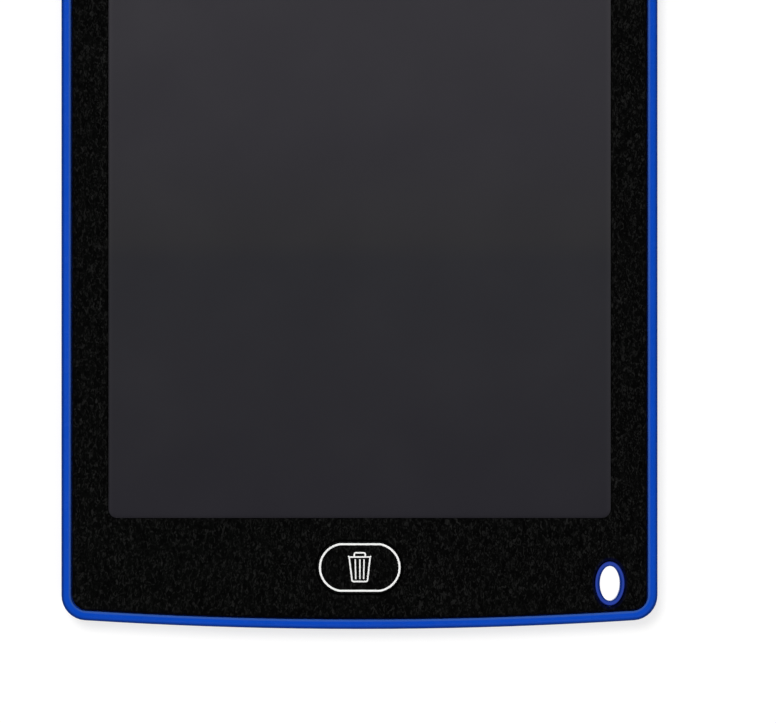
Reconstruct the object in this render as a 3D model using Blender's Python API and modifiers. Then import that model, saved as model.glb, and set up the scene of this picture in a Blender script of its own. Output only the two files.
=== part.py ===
"""LCD writing tablet, lying on its back with the writing screen up.

Metres, +Z up, +X to the right and +Y up the screen. The origin is on the back face, at the
middle of the outline. Each physical piece is one object, and each moving piece has its origin,
or its parent empty, on its joint's axis.
"""

import math

import bmesh
import bpy
from mathutils import Matrix

# Outline of the tablet
WIDTH = 0.145
LENGTH = 0.225
EDGE_BOW = 0.0025
CORNER_RADIUS = 0.0061
RIM_WIDTH = 0.0023
RIM_STEP = 0.0003
BACK_EDGE_ROUND = 0.0018
FRONT_EDGE_ROUND = 0.0011
RIM_INNER_BEVEL = 0.00025

# Clearances
GAP = 0.0003
LAYER_GAP = 0.0001
OVERRUN = 0.002
WELD_DISTANCE = 0.00001

# Moulded walls of the back shell
FLOOR_THICKNESS = 0.001
LEDGE_WIDTH = 0.0016
RIB_THICKNESS = 0.0008
RIB_INSET = 0.002
CROSS_RIB_DROP = 0.0003
RIB_COLUMNS = 5
RIB_ROWS = 7

# Layers of the front
PANEL_THICKNESS = 0.0012
PANEL_EDGE_BEVEL = 0.0002
WINDOW_EDGE_BEVEL = 0.00025
LIP_THICKNESS = 0.0006
TAPE_THICKNESS = 0.0002
FILM_THICKNESS = 0.0006
SUPPORT_THICKNESS = 0.001
SIDE_BORDER = 0.0091
TOP_BORDER = 0.0115
WINDOW_CORNER_RADIUS = 0.0022
FILM_LAP = 0.0018
FILM_CORNER_RADIUS = 0.003
TAPE_INSET = 0.0002

# Lanyard eyelet
LANYARD_HOLE_WIDTH = 0.0049
LANYARD_HOLE_LENGTH = 0.0085
EYELET_WALL = 0.00112
EYELET_EDGE_ROUND = 0.0004
LANYARD_SIDE_INSET = 0.0116
LANYARD_RISE = 0.0111

# Erase button and the switch under it
BUTTON_LENGTH = 0.0208
BUTTON_WIDTH = 0.0129
BUTTON_STRAIGHT = 0.0099
BUTTON_PROUD = 0.00015
BUTTON_EDGE_ROUND = 0.0003
BUTTON_FLANGE_WIDTH = 0.0009
BUTTON_FLANGE_THICKNESS = 0.0004
BUTTON_WALL = 0.001
BUTTON_POST_RADIUS = 0.0017
BUTTON_TRAVEL = 0.0003
BUTTON_PLACE_SHARE = 0.513
PRESS_CLEARANCE = 0.0002
SWITCH_SIDE = 0.0052
SWITCH_HEIGHT = 0.0008
SWITCH_BASE = 0.0002
SWITCH_CORNER_CUT = 0.0006
PLUNGER_RADIUS = 0.0012
PLUNGER_EDGE_ROUND = 0.0001

# Circuit board and what it carries
BOARD_THICKNESS = 0.0006
BOARD_MARGIN = 0.002
BOARD_CORNER_RADIUS = 0.0008
BOARD_TOP_MARGIN = 0.001
BOARD_EDGE_MARGIN = 0.0006
BOARD_END_MARGIN = 0.0115
BOSS_RADIUS = 0.0019
BOSS_HOLE_RADIUS = 0.0009
BOSS_HOLE_FLOOR = 0.0004
BOSS_INSET = 0.0025
BOARD_SCREW_RADIUS = 0.0006
BOARD_SCREW_HEAD_RADIUS = 0.0014
BOARD_SCREW_HEAD_HEIGHT = 0.0006
BOARD_HOLE_RADIUS = 0.0009
CHIP_LENGTH = 0.0049
CHIP_WIDTH = 0.0039
CHIP_HEIGHT = 0.0011
CHIP_EDGE_BEVEL = 0.00015
CHIP_LEAD_REACH = 0.001
CHIP_LEAD_FOOT = 0.0005
CHIP_LEAD_WIDTH = 0.0004
CHIP_LEAD_THICKNESS = 0.0002
CHIP_LEAD_PITCH = 0.00127
CHIP_LEADS = 4
CHIP_PLACE_SHARE = 0.22
INDUCTOR_SIDE = 0.003
INDUCTOR_HEIGHT = 0.0011
INDUCTOR_CORNER = 0.0006
INDUCTOR_CORE_RADIUS = 0.0011
INDUCTOR_CORE_RISE = 0.0001
INDUCTOR_PLACE_SHARE = 0.62
SMALL_PART_LENGTH = 0.0016
SMALL_PART_WIDTH = 0.0008
CAPACITOR_HEIGHT = 0.0007
RESISTOR_HEIGHT = 0.00045
TERMINAL_LENGTH = 0.00035
TERMINAL_STEP = 0.00004
SMALL_PART_ROW_RISE = 0.0036
PART_SPACING = 0.0005
SMALL_PART_SHARES = (0.12, 0.31, 0.50, 0.69, 0.88)

# Erase lock
LOCK_TRAVEL = 0.0025
LOCK_KNOB_LENGTH = 0.005
LOCK_KNOB_WIDTH = 0.0034
LOCK_KNOB_INSET = 0.00015
LOCK_KNOB_GRIP_DEPTH = 0.00025
LOCK_KNOB_GRIP_WIDTH = 0.0004
LOCK_KNOB_GRIP_PITCH = 0.0011
LOCK_KNOB_GRIPS = 3
LOCK_FLANGE_LAP = 0.001
LOCK_FLANGE_THICKNESS = 0.0004
LOCK_RECESS_LAP = 0.0018
LOCK_RECESS_DEPTH = 0.00035
LOCK_STEM_LENGTH = 0.0012
LOCK_STEM_WIDTH = 0.0014
LOCK_HEAD_LAP = 0.0006
LOCK_HEAD_THICKNESS = 0.0005
LOCK_BODY_WALL = 0.0004
LOCK_BODY_HEIGHT = 0.0013
LOCK_PLACE_FROM_BOARD_END = 0.011

# Coin cell and its bay
CELL_DIAMETER = 0.02
CELL_THICKNESS = 0.0016
CELL_PLAY = 0.0003
CELL_EDGE_ROUND = 0.00015
CELL_CAP_STEP = 0.0013
CELL_CAP_DROP = 0.0002
CUP_WALL = 0.0008
CONTACT_RISE = 0.0007
BAY_ROOF_THICKNESS = 0.0004
ROOF_TO_PANEL = 0.0005
DOOR_SIDE_LEDGE = 0.0006
DOOR_EDGE_MARGIN = 0.0001
BAY_TO_BOARD = 0.002

# Sheet-metal contacts and their wires
CONTACT_THICKNESS = 0.0002
CONTACT_WIDTH = 0.004
CONTACT_REACH = 0.0014
CONTACT_TOE = 0.0008
CONTACT_ANGLE = 32.0
FINGER_START_SHARE = 0.45
FINGER_TOE_SHARE = 0.12
LEAD_RADIUS = 0.0004
LEAD_LANDING = 0.0016
LEAD_POINTS = 14

# Battery door and its screw
DOOR_CORNER_RADIUS = 0.0015
DOOR_EDGE_BEVEL = 0.0002
DOOR_TAB_WIDTH = 0.003
DOOR_TAB_REACH = 0.0012
DOOR_TAB_NECK = 0.0009
DOOR_TAB_THICKNESS = 0.0006
DOOR_TAB_PLACE_SHARE = 0.55
DOOR_PAD_RADIUS = 0.0026
DOOR_PAD_HEIGHT = 0.0008
DOOR_END_MARGIN = 0.0006
DOOR_SCREW_HEAD_RADIUS = 0.0015
DOOR_SCREW_HEAD_HEIGHT = 0.0007
DOOR_SCREW_HEAD_INSET = 0.00015
DOOR_SCREW_RADIUS = 0.0007
DOOR_SCREW_GRIP = 0.0014
DOOR_BOSS_RADIUS = 0.0022
DOOR_BOSS_WEB = 0.0012
CROSS_SLOT_WIDTH = 0.00035
CROSS_SLOT_DEPTH = 0.0003
CROSS_SLOT_SHARE = 0.62

# Flat lead from the film to the board
TAIL_WIDTH = 0.006
TAIL_THICKNESS = 0.00015
CONNECTOR_WALL = 0.0005
CONNECTOR_DEPTH = 0.0026
CONNECTOR_HEIGHT = 0.0012
CONNECTOR_PLACE_SHARE = 0.45
TAIL_INSERTION_SHARE = 0.6

# Stylus and its bay along the top edge
END_POST_WIDTH = 0.0085
STYLUS_INSET = 0.0004
STYLUS_CAP_LENGTH = 0.009
STYLUS_TAPER_LENGTH = 0.012
STYLUS_NOSE_RADIUS = 0.0014
STYLUS_SWELL_SHARE = 0.8
STYLUS_TIP_LENGTH = 0.0042
STYLUS_TIP_END_RADIUS = 0.0006
STYLUS_TIP_SHOULDER = 0.0002
STYLUS_BORE_RADIUS = 0.0009
STYLUS_SPIGOT_LENGTH = 0.004
STYLUS_WAIST_DEPTH = 0.0006
STYLUS_WAIST_BEVEL = 0.0003
STYLUS_EDGE_ROUND = 0.0006
JAW_WIDTH = 0.0034
JAW_THICKNESS = 0.0007
JAW_OVERREACH = 0.0008
JAW_PLACE_SHARE = 0.55
BAY_CORNER_RADIUS = 0.001

# Facets
CORNER_STEPS = 8
BOW_STEPS = 9
ROUND_STEPS = 32
SMALL_ROUND_STEPS = 20
HOLE_STEPS = 18
EDGE_SEGMENTS = 4
SMALL_EDGE_SEGMENTS = 2
WIRE_STEPS = 2
EDGE_PROFILE_SHARE = 0.5
SMOOTH_ANGLE = 32.0
FLAT_ANGLE = 0.02

# Heights of the coin cell stack, which sets the depth of the housing
DOOR_TOP = FLOOR_THICKNESS
CELL_LOW = DOOR_TOP + GAP
CELL_HIGH = CELL_LOW + CELL_THICKNESS
BAY_CEILING = CELL_HIGH + CONTACT_RISE
PANEL_LOW = BAY_CEILING + BAY_ROOF_THICKNESS + ROOF_TO_PANEL
PANEL_HIGH = PANEL_LOW + PANEL_THICKNESS
THICKNESS = PANEL_HIGH + RIM_STEP

# Heights of the battery door's pad and of the tip of its screw
DOOR_PAD_HIGH = FLOOR_THICKNESS + DOOR_PAD_HEIGHT
DOOR_SCREW_TIP = DOOR_PAD_HIGH + GAP + DOOR_SCREW_GRIP

# Heights of the screen layers, from the panel's lip down to the ribs
LIP_LOW = PANEL_HIGH - LIP_THICKNESS
FILM_TAPE_HIGH = LIP_LOW - LAYER_GAP
FILM_TAPE_LOW = FILM_TAPE_HIGH - TAPE_THICKNESS
FILM_HIGH = FILM_TAPE_LOW - LAYER_GAP
FILM_LOW = FILM_HIGH - FILM_THICKNESS
SUPPORT_HIGH = FILM_LOW - LAYER_GAP
SUPPORT_LOW = SUPPORT_HIGH - SUPPORT_THICKNESS
RIB_HIGH = SUPPORT_LOW - GAP
PANEL_TAPE_HIGH = PANEL_LOW - LAYER_GAP
PANEL_TAPE_LOW = PANEL_TAPE_HIGH - TAPE_THICKNESS
LEDGE_HIGH = PANEL_TAPE_LOW - LAYER_GAP

# Heights of the push switch, from the button's flange down to the board
BUTTON_HIGH = PANEL_HIGH + BUTTON_PROUD
FLANGE_HIGH = PANEL_LOW - GAP
FLANGE_LOW = FLANGE_HIGH - BUTTON_FLANGE_THICKNESS
PLUNGER_HIGH = FLANGE_LOW - LAYER_GAP
SWITCH_HIGH = FLANGE_LOW - BUTTON_TRAVEL - PRESS_CLEARANCE
SWITCH_LOW = SWITCH_HIGH - SWITCH_HEIGHT
PLUNGER_LOW = SWITCH_LOW + SWITCH_BASE + BUTTON_TRAVEL + LAYER_GAP
BOARD_HIGH = SWITCH_LOW - LAYER_GAP
BOARD_LOW = BOARD_HIGH - BOARD_THICKNESS
BOSS_HIGH = BOARD_LOW - LAYER_GAP
PARTS_LOW = BOARD_HIGH + LAYER_GAP

# Outline radii
HALF_WIDTH = WIDTH / 2
HALF_LENGTH = LENGTH / 2
BOW_RADIUS = (HALF_WIDTH ** 2 + EDGE_BOW ** 2) / (2 * EDGE_BOW)


def edge_drop(x):
    """How far the bowed end edge has fallen back at a distance x from the middle."""
    return BOW_RADIUS - math.sqrt(BOW_RADIUS ** 2 - x ** 2)


# Places along X, from the button out to the battery bay and to the board's far end
SLOT_FRAME = GAP + RIB_THICKNESS
CUP_RADIUS = CELL_DIAMETER / 2 + CELL_PLAY
CUP_OUTER_RADIUS = CUP_RADIUS + CUP_WALL
BOARD_LEFT = -(BUTTON_LENGTH / 2 + BOARD_MARGIN)
DOOR_RIGHT = BOARD_LEFT - GAP - RIB_THICKNESS - BAY_TO_BOARD - GAP
DOOR_SCREW_X = DOOR_RIGHT - DOOR_END_MARGIN - DOOR_PAD_RADIUS
CELL_X = DOOR_SCREW_X - DOOR_PAD_RADIUS - GAP - CUP_OUTER_RADIUS
TAB_LOW = FLOOR_THICKNESS + GAP
TAB_HIGH = TAB_LOW + DOOR_TAB_THICKNESS
TAB_SWING = math.hypot(DOOR_TAB_NECK, TAB_HIGH)
DOOR_LEFT = CELL_X - CUP_OUTER_RADIUS - TAB_SWING - GAP
LANYARD_X = HALF_WIDTH - LANYARD_SIDE_INSET
LANYARD_Y = -HALF_LENGTH + LANYARD_RISE
EYELET_HALF_WIDTH = LANYARD_HOLE_WIDTH / 2 + EYELET_WALL
EYELET_HALF_LENGTH = LANYARD_HOLE_LENGTH / 2 + EYELET_WALL
BOARD_RIGHT = LANYARD_X - EYELET_HALF_WIDTH - BOARD_END_MARGIN
LOCK_X = BOARD_RIGHT - LOCK_PLACE_FROM_BOARD_END

# Places along Y, from the bottom edge up through the battery bay to the window
DOOR_BOTTOM = -HALF_LENGTH + edge_drop(DOOR_LEFT) + BACK_EDGE_ROUND + DOOR_EDGE_MARGIN + GAP
DOOR_HALF_HEIGHT = CUP_RADIUS + DOOR_SIDE_LEDGE - GAP
CELL_Y = DOOR_BOTTOM + DOOR_HALF_HEIGHT
DOOR_TOP_Y = CELL_Y + DOOR_HALF_HEIGHT
FILM_BOTTOM = CELL_Y + CUP_OUTER_RADIUS + GAP
WINDOW_BOTTOM = FILM_BOTTOM + FILM_LAP
PANEL_BOTTOM = -HALF_LENGTH + RIM_WIDTH
BUTTON_Y = PANEL_BOTTOM + BUTTON_PLACE_SHARE * (WINDOW_BOTTOM - PANEL_BOTTOM)
BOARD_BOTTOM = -HALF_LENGTH + edge_drop(BOARD_RIGHT) + RIM_WIDTH + LEDGE_WIDTH + BOARD_EDGE_MARGIN
BOARD_TOP = FILM_BOTTOM - BOARD_TOP_MARGIN
BOARD_MIDDLE_Y = (BOARD_BOTTOM + BOARD_TOP) / 2

# Places along Y, from the top edge down through the stylus bay to the window
BAY_HALF_LENGTH = HALF_WIDTH - END_POST_WIDTH
STYLUS_RADIUS = (THICKNESS - FLOOR_THICKNESS) / 2 - GAP
STYLUS_Y = HALF_LENGTH - STYLUS_INSET - STYLUS_RADIUS
STYLUS_Z = FLOOR_THICKNESS + GAP + STYLUS_RADIUS
BAY_WALL_Y = STYLUS_Y - STYLUS_RADIUS - GAP
RECESS_TOP = BAY_WALL_Y - RIM_WIDTH
CAVITY_TOP = RECESS_TOP - LEDGE_WIDTH
WINDOW_TOP = RECESS_TOP - TOP_BORDER
FILM_TOP = WINDOW_TOP + FILM_LAP
WINDOW_HALF_WIDTH = HALF_WIDTH - RIM_WIDTH - SIDE_BORDER
FILM_HALF_WIDTH = WINDOW_HALF_WIDTH + FILM_LAP

PARTS_NAME = "lcd_writing_tablet"
CUTTERS_NAME = "cutters"

COLOURS = {
    "shell_blue": ((0.008, 0.065, 0.50), 0.32, 0.0),
    "panel_black": ((0.004, 0.004, 0.004), 0.45, 0.0),
    "button_black": ((0.004, 0.004, 0.004), 0.42, 0.0),
    "film_grey": ((0.028, 0.027, 0.033), 0.35, 0.0),
    "tape_white": ((0.62, 0.62, 0.58), 0.75, 0.0),
    "support_black": ((0.012, 0.012, 0.012), 0.6, 0.0),
    "board_green": ((0.01, 0.11, 0.04), 0.4, 0.0),
    "part_black": ((0.01, 0.01, 0.01), 0.5, 0.0),
    "part_grey": ((0.08, 0.08, 0.085), 0.5, 0.0),
    "capacitor_tan": ((0.42, 0.27, 0.14), 0.5, 0.0),
    "connector_ivory": ((0.65, 0.6, 0.48), 0.5, 0.0),
    "tail_amber": ((0.45, 0.22, 0.04), 0.35, 0.0),
    "cell_steel": ((0.6, 0.6, 0.6), 0.25, 1.0),
    "contact_nickel": ((0.65, 0.62, 0.56), 0.3, 1.0),
    "screw_steel": ((0.5, 0.5, 0.52), 0.3, 1.0),
    "lead_red": ((0.45, 0.01, 0.01), 0.4, 0.0),
    "lead_black": ((0.01, 0.01, 0.01), 0.4, 0.0),
    "stylus_blue": ((0.008, 0.065, 0.50), 0.35, 0.0),
    "tip_black": ((0.01, 0.01, 0.01), 0.35, 0.0),
}


def clear_scene():
    """Remove every object, so that the file holds the tablet alone."""
    for old in list(bpy.data.objects):
        bpy.data.objects.remove(old, do_unlink=True)


def make_collection(name):
    collection = bpy.data.collections.new(name)
    bpy.context.scene.collection.children.link(collection)
    return collection


def material(name):
    """The named finish, made once and shared by the pieces that have it."""
    found = bpy.data.materials.get(name)
    if found:
        return found
    colour, roughness, metallic = COLOURS[name]
    made = bpy.data.materials.new(name)
    made.use_nodes = True
    shader = made.node_tree.nodes["Principled BSDF"]
    shader.inputs["Base Color"].default_value = (*colour, 1)
    shader.inputs["Roughness"].default_value = roughness
    shader.inputs["Metallic"].default_value = metallic
    return made


def finish(piece, finish_name):
    """Give a piece its finish and smooth shading between its sharp edges."""
    piece.data.materials.clear()
    piece.data.materials.append(material(finish_name))
    if len(piece.data.polygons) > 0:
        piece.data.shade_smooth()
        piece.data.set_sharp_from_angle(angle=math.radians(SMOOTH_ANGLE))
    return piece


def add_object(name, mesh, place=(0, 0, 0)):
    piece = bpy.data.objects.new(name, mesh)
    piece.location = place
    bpy.data.collections[PARTS_NAME].objects.link(piece)
    return piece


def boolean(target, tool, operation):
    """Join or cut the target with a tool, which is kept as a hidden wire object."""
    step = target.modifiers.new(tool.name, "BOOLEAN")
    step.operation = operation
    step.solver = "EXACT"
    step.object = tool
    if tool.name not in bpy.data.collections[CUTTERS_NAME].objects:
        bpy.data.collections[PARTS_NAME].objects.unlink(tool)
        bpy.data.collections[CUTTERS_NAME].objects.link(tool)
        tool.hide_render = True
        tool.display_type = "WIRE"


def cut(target, tool):
    boolean(target, tool, "DIFFERENCE")


def join(target, tool):
    boolean(target, tool, "UNION")


def joint_empty(name, place):
    """An empty on a joint's axis, which carries the pieces that move together."""
    empty = bpy.data.objects.new(name, None)
    empty.location = place
    empty.empty_display_size = STYLUS_CAP_LENGTH
    bpy.data.collections[PARTS_NAME].objects.link(empty)
    return empty


def attach(child, parent):
    """Parent a piece without moving it. Neither of them is turned at its parent."""
    child.parent = parent
    child.location = child.location - parent.location


def arc(centre_x, centre_y, radius, start, end, steps):
    """Points on an arc, from one angle to the other in degrees."""
    points = []
    for step in range(steps + 1):
        angle = math.radians(start + (end - start) * step / steps)
        points.append((centre_x + radius * math.cos(angle), centre_y + radius * math.sin(angle)))
    return points


def circle(centre_x, centre_y, radius, steps=ROUND_STEPS):
    return arc(centre_x, centre_y, radius, 0, 360, steps)[:-1]


def rounded_rectangle(left, bottom, right, top, radius):
    """Corner arcs joined by straight sides, anticlockwise from the lower right."""
    corners = [
        (right - radius, bottom + radius, -90),
        (right - radius, top - radius, 0),
        (left + radius, top - radius, 90),
        (left + radius, bottom + radius, 180),
    ]
    points = []
    for corner_x, corner_y, start in corners:
        points += arc(corner_x, corner_y, radius, start, start + 90, CORNER_STEPS)
    return points


def pill(length, width, straight):
    """Two straight runs closed by end arcs that meet them at a slight corner."""
    rise = (length - straight) / 2
    half_width = width / 2
    radius = (half_width ** 2 + rise ** 2) / (2 * rise)
    spread = math.degrees(math.asin(half_width / radius))
    centre_x = length / 2 - radius
    right = arc(centre_x, 0, radius, -spread, spread, 2 * CORNER_STEPS)
    left = arc(-centre_x, 0, radius, 180 - spread, 180 + spread, 2 * CORNER_STEPS)
    return right + left


def end_quarter(half_width, edge_y, radius, bow_radius):
    """Half of an end edge: the corner arc, then the shallow bow to the middle.

    The corner arc touches the side and lies inside the bow's own circle, which it touches too.
    Without a bow the edge is straight, so the corner arc is all that it needs.
    """
    corner_x = half_width - radius
    if bow_radius is None:
        return arc(corner_x, edge_y - radius, radius, 0, 90, CORNER_STEPS)
    bow_centre_y = edge_y - bow_radius
    corner_y = bow_centre_y + math.sqrt((bow_radius - radius) ** 2 - corner_x ** 2)
    meeting = math.degrees(math.atan2(corner_y - bow_centre_y, corner_x))
    corner = arc(corner_x, corner_y, radius, 0, meeting, CORNER_STEPS)
    bow = arc(0, bow_centre_y, bow_radius, meeting, 90, BOW_STEPS)
    return corner + bow[1:]


def tablet_outline(inset, top):
    """The tablet's outline moved inwards by an inset, with its straight top edge at a height.

    The bottom edge is bowed.
    """
    half_width = HALF_WIDTH - inset
    radius = max(CORNER_RADIUS - inset, RIM_WIDTH / 2)
    bow_radius = BOW_RADIUS - inset
    bottom_half = end_quarter(half_width, HALF_LENGTH - inset, radius, bow_radius)
    top_half = end_quarter(half_width, top, radius, None)
    points = list(top_half)
    points += [(-x, y) for x, y in reversed(top_half)]
    points += [(-x, -y) for x, y in bottom_half]
    points += [(x, -y) for x, y in reversed(bottom_half)]
    return without_repeats(points)


def without_repeats(points):
    """Drop each point that lies on the one before it."""
    kept = []
    for index, point in enumerate(points):
        before = points[index - 1]
        if math.dist(point, before) > WELD_DISTANCE:
            kept.append(point)
    return kept


def solid_from_curve(curve_object, merge_flat_faces=True):
    """Turn a curve into a welded mesh object that has its name and place."""
    bpy.context.view_layer.update()
    graph = bpy.context.evaluated_depsgraph_get()
    mesh = bpy.data.meshes.new_from_object(curve_object.evaluated_get(graph))
    body = bmesh.new()
    body.from_mesh(mesh)
    bmesh.ops.remove_doubles(body, verts=body.verts, dist=WELD_DISTANCE)
    if merge_flat_faces:
        limit = math.radians(FLAT_ANGLE)
        bmesh.ops.dissolve_limit(body, angle_limit=limit, verts=body.verts, edges=body.edges)
    bmesh.ops.recalc_face_normals(body, faces=body.faces)
    body.to_mesh(mesh)
    body.free()
    name = curve_object.name
    matrix = curve_object.matrix_world.copy()
    bpy.data.objects.remove(curve_object, do_unlink=True)
    solid = add_object(name, mesh)
    solid.matrix_world = matrix
    return solid


def plate(name, outlines, low, high, place=(0, 0)):
    """A flat plate between two heights. Outlines inside the first are its holes.

    The object's origin is at the place given, on the back face's plane.
    """
    curve = bpy.data.curves.new(name, "CURVE")
    curve.dimensions = "2D"
    curve.fill_mode = "BOTH"
    curve.extrude = (high - low) / 2
    for outline in outlines:
        spline = curve.splines.new("POLY")
        spline.points.add(len(outline) - 1)
        for point, (x, y) in zip(spline.points, outline):
            point.co = (x, y, 0, 1)
        spline.use_cyclic_u = True
    curve_object = add_object(name, curve)
    solid = solid_from_curve(curve_object, merge_flat_faces=len(outlines) == 1)
    solid.data.transform(Matrix.Translation((0, 0, (low + high) / 2)))
    solid.location = (*place, 0)
    return solid


def stacked(name, layers):
    """A closed solid through outlines of equally many points, each at its height, lowest first."""
    count = len(layers[0][0])
    points = [(x, y, height) for outline, height in layers for x, y in outline]
    faces = [tuple(range(count))[::-1], tuple(range(len(points) - count, len(points)))]
    for start in range(0, len(points) - count, count):
        for index in range(count):
            after = (index + 1) % count
            faces.append((start + index, start + after, start + count + after, start + count + index))
    mesh = bpy.data.meshes.new(name)
    mesh.from_pydata(points, [], faces)
    return add_object(name, mesh)


def bent_strip(name, centre_line, thickness, width):
    """A metal strip bent in the XZ plane, as wide as given along Y.

    Each point of the centre line is moved half a thickness along the mitre of its two runs.
    """
    upper = []
    lower = []
    for index, (x, z) in enumerate(centre_line):
        before = centre_line[max(index - 1, 0)]
        after = centre_line[min(index + 1, len(centre_line) - 1)]
        first = unit((x - before[0], z - before[1])) if index > 0 else None
        second = unit((after[0] - x, after[1] - z)) if index < len(centre_line) - 1 else first
        first = first or second
        mitre = unit((-(first[1] + second[1]), first[0] + second[0]))
        spread = thickness / 2 / (mitre[0] * -second[1] + mitre[1] * second[0])
        upper.append((x + mitre[0] * spread, z + mitre[1] * spread))
        lower.append((x - mitre[0] * spread, z - mitre[1] * spread))
    strip = plate(name, [lower + upper[::-1]], -width / 2, width / 2)
    strip.data.transform(Matrix.Rotation(math.radians(90), 4, "X"))
    return strip


def unit(vector):
    size = math.hypot(*vector)
    return (vector[0] / size, vector[1] / size)


def block(name, size, low, place=(0, 0)):
    """A box of the given size that stands at a height, centred on its place."""
    mesh = bpy.data.meshes.new(name)
    body = bmesh.new()
    bmesh.ops.create_cube(body, size=1, matrix=Matrix.Diagonal((*size, 1)))
    bmesh.ops.translate(body, verts=body.verts, vec=(0, 0, low + size[2] / 2))
    body.to_mesh(mesh)
    body.free()
    return add_object(name, mesh, (*place, 0))


def turned(name, profile, steps, place=(0, 0, 0)):
    """A solid of revolution about its own Z axis. The profile runs from top to bottom."""
    mesh = bpy.data.meshes.new(name)
    points = [(radius, 0, height) for radius, height in profile]
    edges = [(index, index + 1) for index in range(len(points) - 1)]
    mesh.from_pydata(points, edges, [])
    piece = add_object(name, mesh, place)
    screw = piece.modifiers.new("Turn", "SCREW")
    screw.axis = "Z"
    screw.steps = steps
    screw.render_steps = steps
    screw.use_merge_vertices = True
    screw.merge_threshold = WELD_DISTANCE
    screw.use_smooth_shade = True
    weld = piece.modifiers.new("Close", "WELD")
    weld.merge_threshold = WELD_DISTANCE
    return piece


def edge_round(radius, height, size, upper=True):
    """Profile points round the outer edge of a turned piece, from top to bottom."""
    if upper:
        return [
            (radius - size + size * math.sin(angle), height - size + size * math.cos(angle))
            for angle in quarter_angles()
        ]
    return [
        (radius - size + size * math.cos(angle), height + size - size * math.sin(angle))
        for angle in quarter_angles()
    ]


def quarter_angles():
    return [math.radians(90) * step / EDGE_SEGMENTS for step in range(EDGE_SEGMENTS + 1)]


def round_loop(piece, height, size, segments):
    """Round the edges of a piece that lie at one height."""
    body = bmesh.new()
    body.from_mesh(piece.data)
    picked = []
    for edge in body.edges:
        level = all(abs(corner.co.z - height) < WELD_DISTANCE for corner in edge.verts)
        if level and edge.calc_face_angle(0) > math.radians(SMOOTH_ANGLE):
            picked.append(edge)
    bmesh.ops.bevel(
        body,
        geom=picked,
        offset=size,
        offset_type="OFFSET",
        segments=segments,
        profile=EDGE_PROFILE_SHARE,
        affect="EDGES",
    )
    bmesh.ops.remove_doubles(body, verts=body.verts, dist=WELD_DISTANCE)
    body.to_mesh(piece.data)
    body.free()


def bevel_edges(piece, size, segments=1):
    """A live bevel on every edge sharper than the smooth angle."""
    step = piece.modifiers.new("Edges", "BEVEL")
    step.width = size
    step.segments = segments
    step.limit_method = "ANGLE"
    step.angle_limit = math.radians(SMOOTH_ANGLE)
    step.use_clamp_overlap = True


def wire(name, points, radius):
    """A round insulated wire along the points."""
    curve = bpy.data.curves.new(name, "CURVE")
    curve.dimensions = "3D"
    curve.bevel_depth = radius
    curve.bevel_resolution = WIRE_STEPS
    curve.use_fill_caps = True
    spline = curve.splines.new("POLY")
    spline.points.add(len(points) - 1)
    for point, (x, y, z) in zip(spline.points, points):
        point.co = (x, y, z, 1)
    return solid_from_curve(add_object(name, curve))


def scaled_round(name, profile, length_ratio, place):
    """A turned piece stretched along Y into an oval."""
    piece = turned(name, profile, ROUND_STEPS, place)
    piece.scale = (1, length_ratio, 1)
    return piece


def lanyard_cutter(name):
    """The oval hole, flared by a quarter round where it leaves each face."""
    radius = LANYARD_HOLE_WIDTH / 2
    flare = EYELET_EDGE_ROUND
    upper = [
        (radius + flare - flare * math.sin(angle), THICKNESS - flare + flare * math.cos(angle))
        for angle in quarter_angles()
    ]
    lower = [
        (radius + flare - flare * math.cos(angle), flare - flare * math.sin(angle))
        for angle in quarter_angles()
    ]
    profile = [(0, THICKNESS + OVERRUN), (radius + flare, THICKNESS + OVERRUN)]
    profile += upper + lower
    profile += [(radius + flare, -OVERRUN), (0, -OVERRUN)]
    ratio = LANYARD_HOLE_LENGTH / LANYARD_HOLE_WIDTH
    return scaled_round(name, profile, ratio, (LANYARD_X, LANYARD_Y, 0))


def eyelet_post(name, margin, low, high, edge_size):
    """The oval post round the lanyard hole, or with a margin the hole that it passes through."""
    half_width = EYELET_HALF_WIDTH + margin
    profile = [(0, high)]
    profile += edge_round(half_width, high, edge_size) if edge_size else [(half_width, high)]
    profile += [(half_width, low), (0, low)]
    ratio = (EYELET_HALF_LENGTH + margin) / half_width
    return scaled_round(name, profile, ratio, (LANYARD_X, LANYARD_Y, 0))


def rib_bars(name, size, place, count, offset):
    """A row of equal bars, which start inside the floor so that they join it."""
    bars = block(name, size, FLOOR_THICKNESS / 2, place)
    row = bars.modifiers.new("Row", "ARRAY")
    row.count = count
    row.use_relative_offset = False
    row.use_constant_offset = True
    row.constant_offset_displace = offset
    return bars


def add_ribs(shell):
    """Long ribs that carry the support plate, crossed by slightly lower ones."""
    left = -FILM_HALF_WIDTH + RIB_INSET
    bottom = FILM_BOTTOM + RIB_INSET
    top = FILM_TOP - RIB_INSET
    height = RIB_HIGH - FLOOR_THICKNESS / 2
    pitch_x = -2 * left / RIB_COLUMNS
    long_size = (RIB_THICKNESS, top - bottom + 2 * RIB_THICKNESS, height)
    long_place = (left, (bottom + top) / 2)
    join(shell, rib_bars("long_ribs", long_size, long_place, RIB_COLUMNS + 1, (pitch_x, 0, 0)))
    pitch_y = (top - bottom) / RIB_ROWS
    cross_size = (-2 * left, RIB_THICKNESS, height - CROSS_RIB_DROP)
    cross_place = (0, bottom)
    join(shell, rib_bars("cross_ribs", cross_size, cross_place, RIB_ROWS + 1, (0, pitch_y, 0)))


def shell_body():
    """The closed outer form of the shell, with rounded back and front edges."""
    shell = plate("back_shell", [tablet_outline(0, HALF_LENGTH)], 0, THICKNESS)
    round_loop(shell, 0, BACK_EDGE_ROUND, EDGE_SEGMENTS)
    round_loop(shell, THICKNESS, FRONT_EDGE_ROUND, EDGE_SEGMENTS)
    return shell


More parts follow.
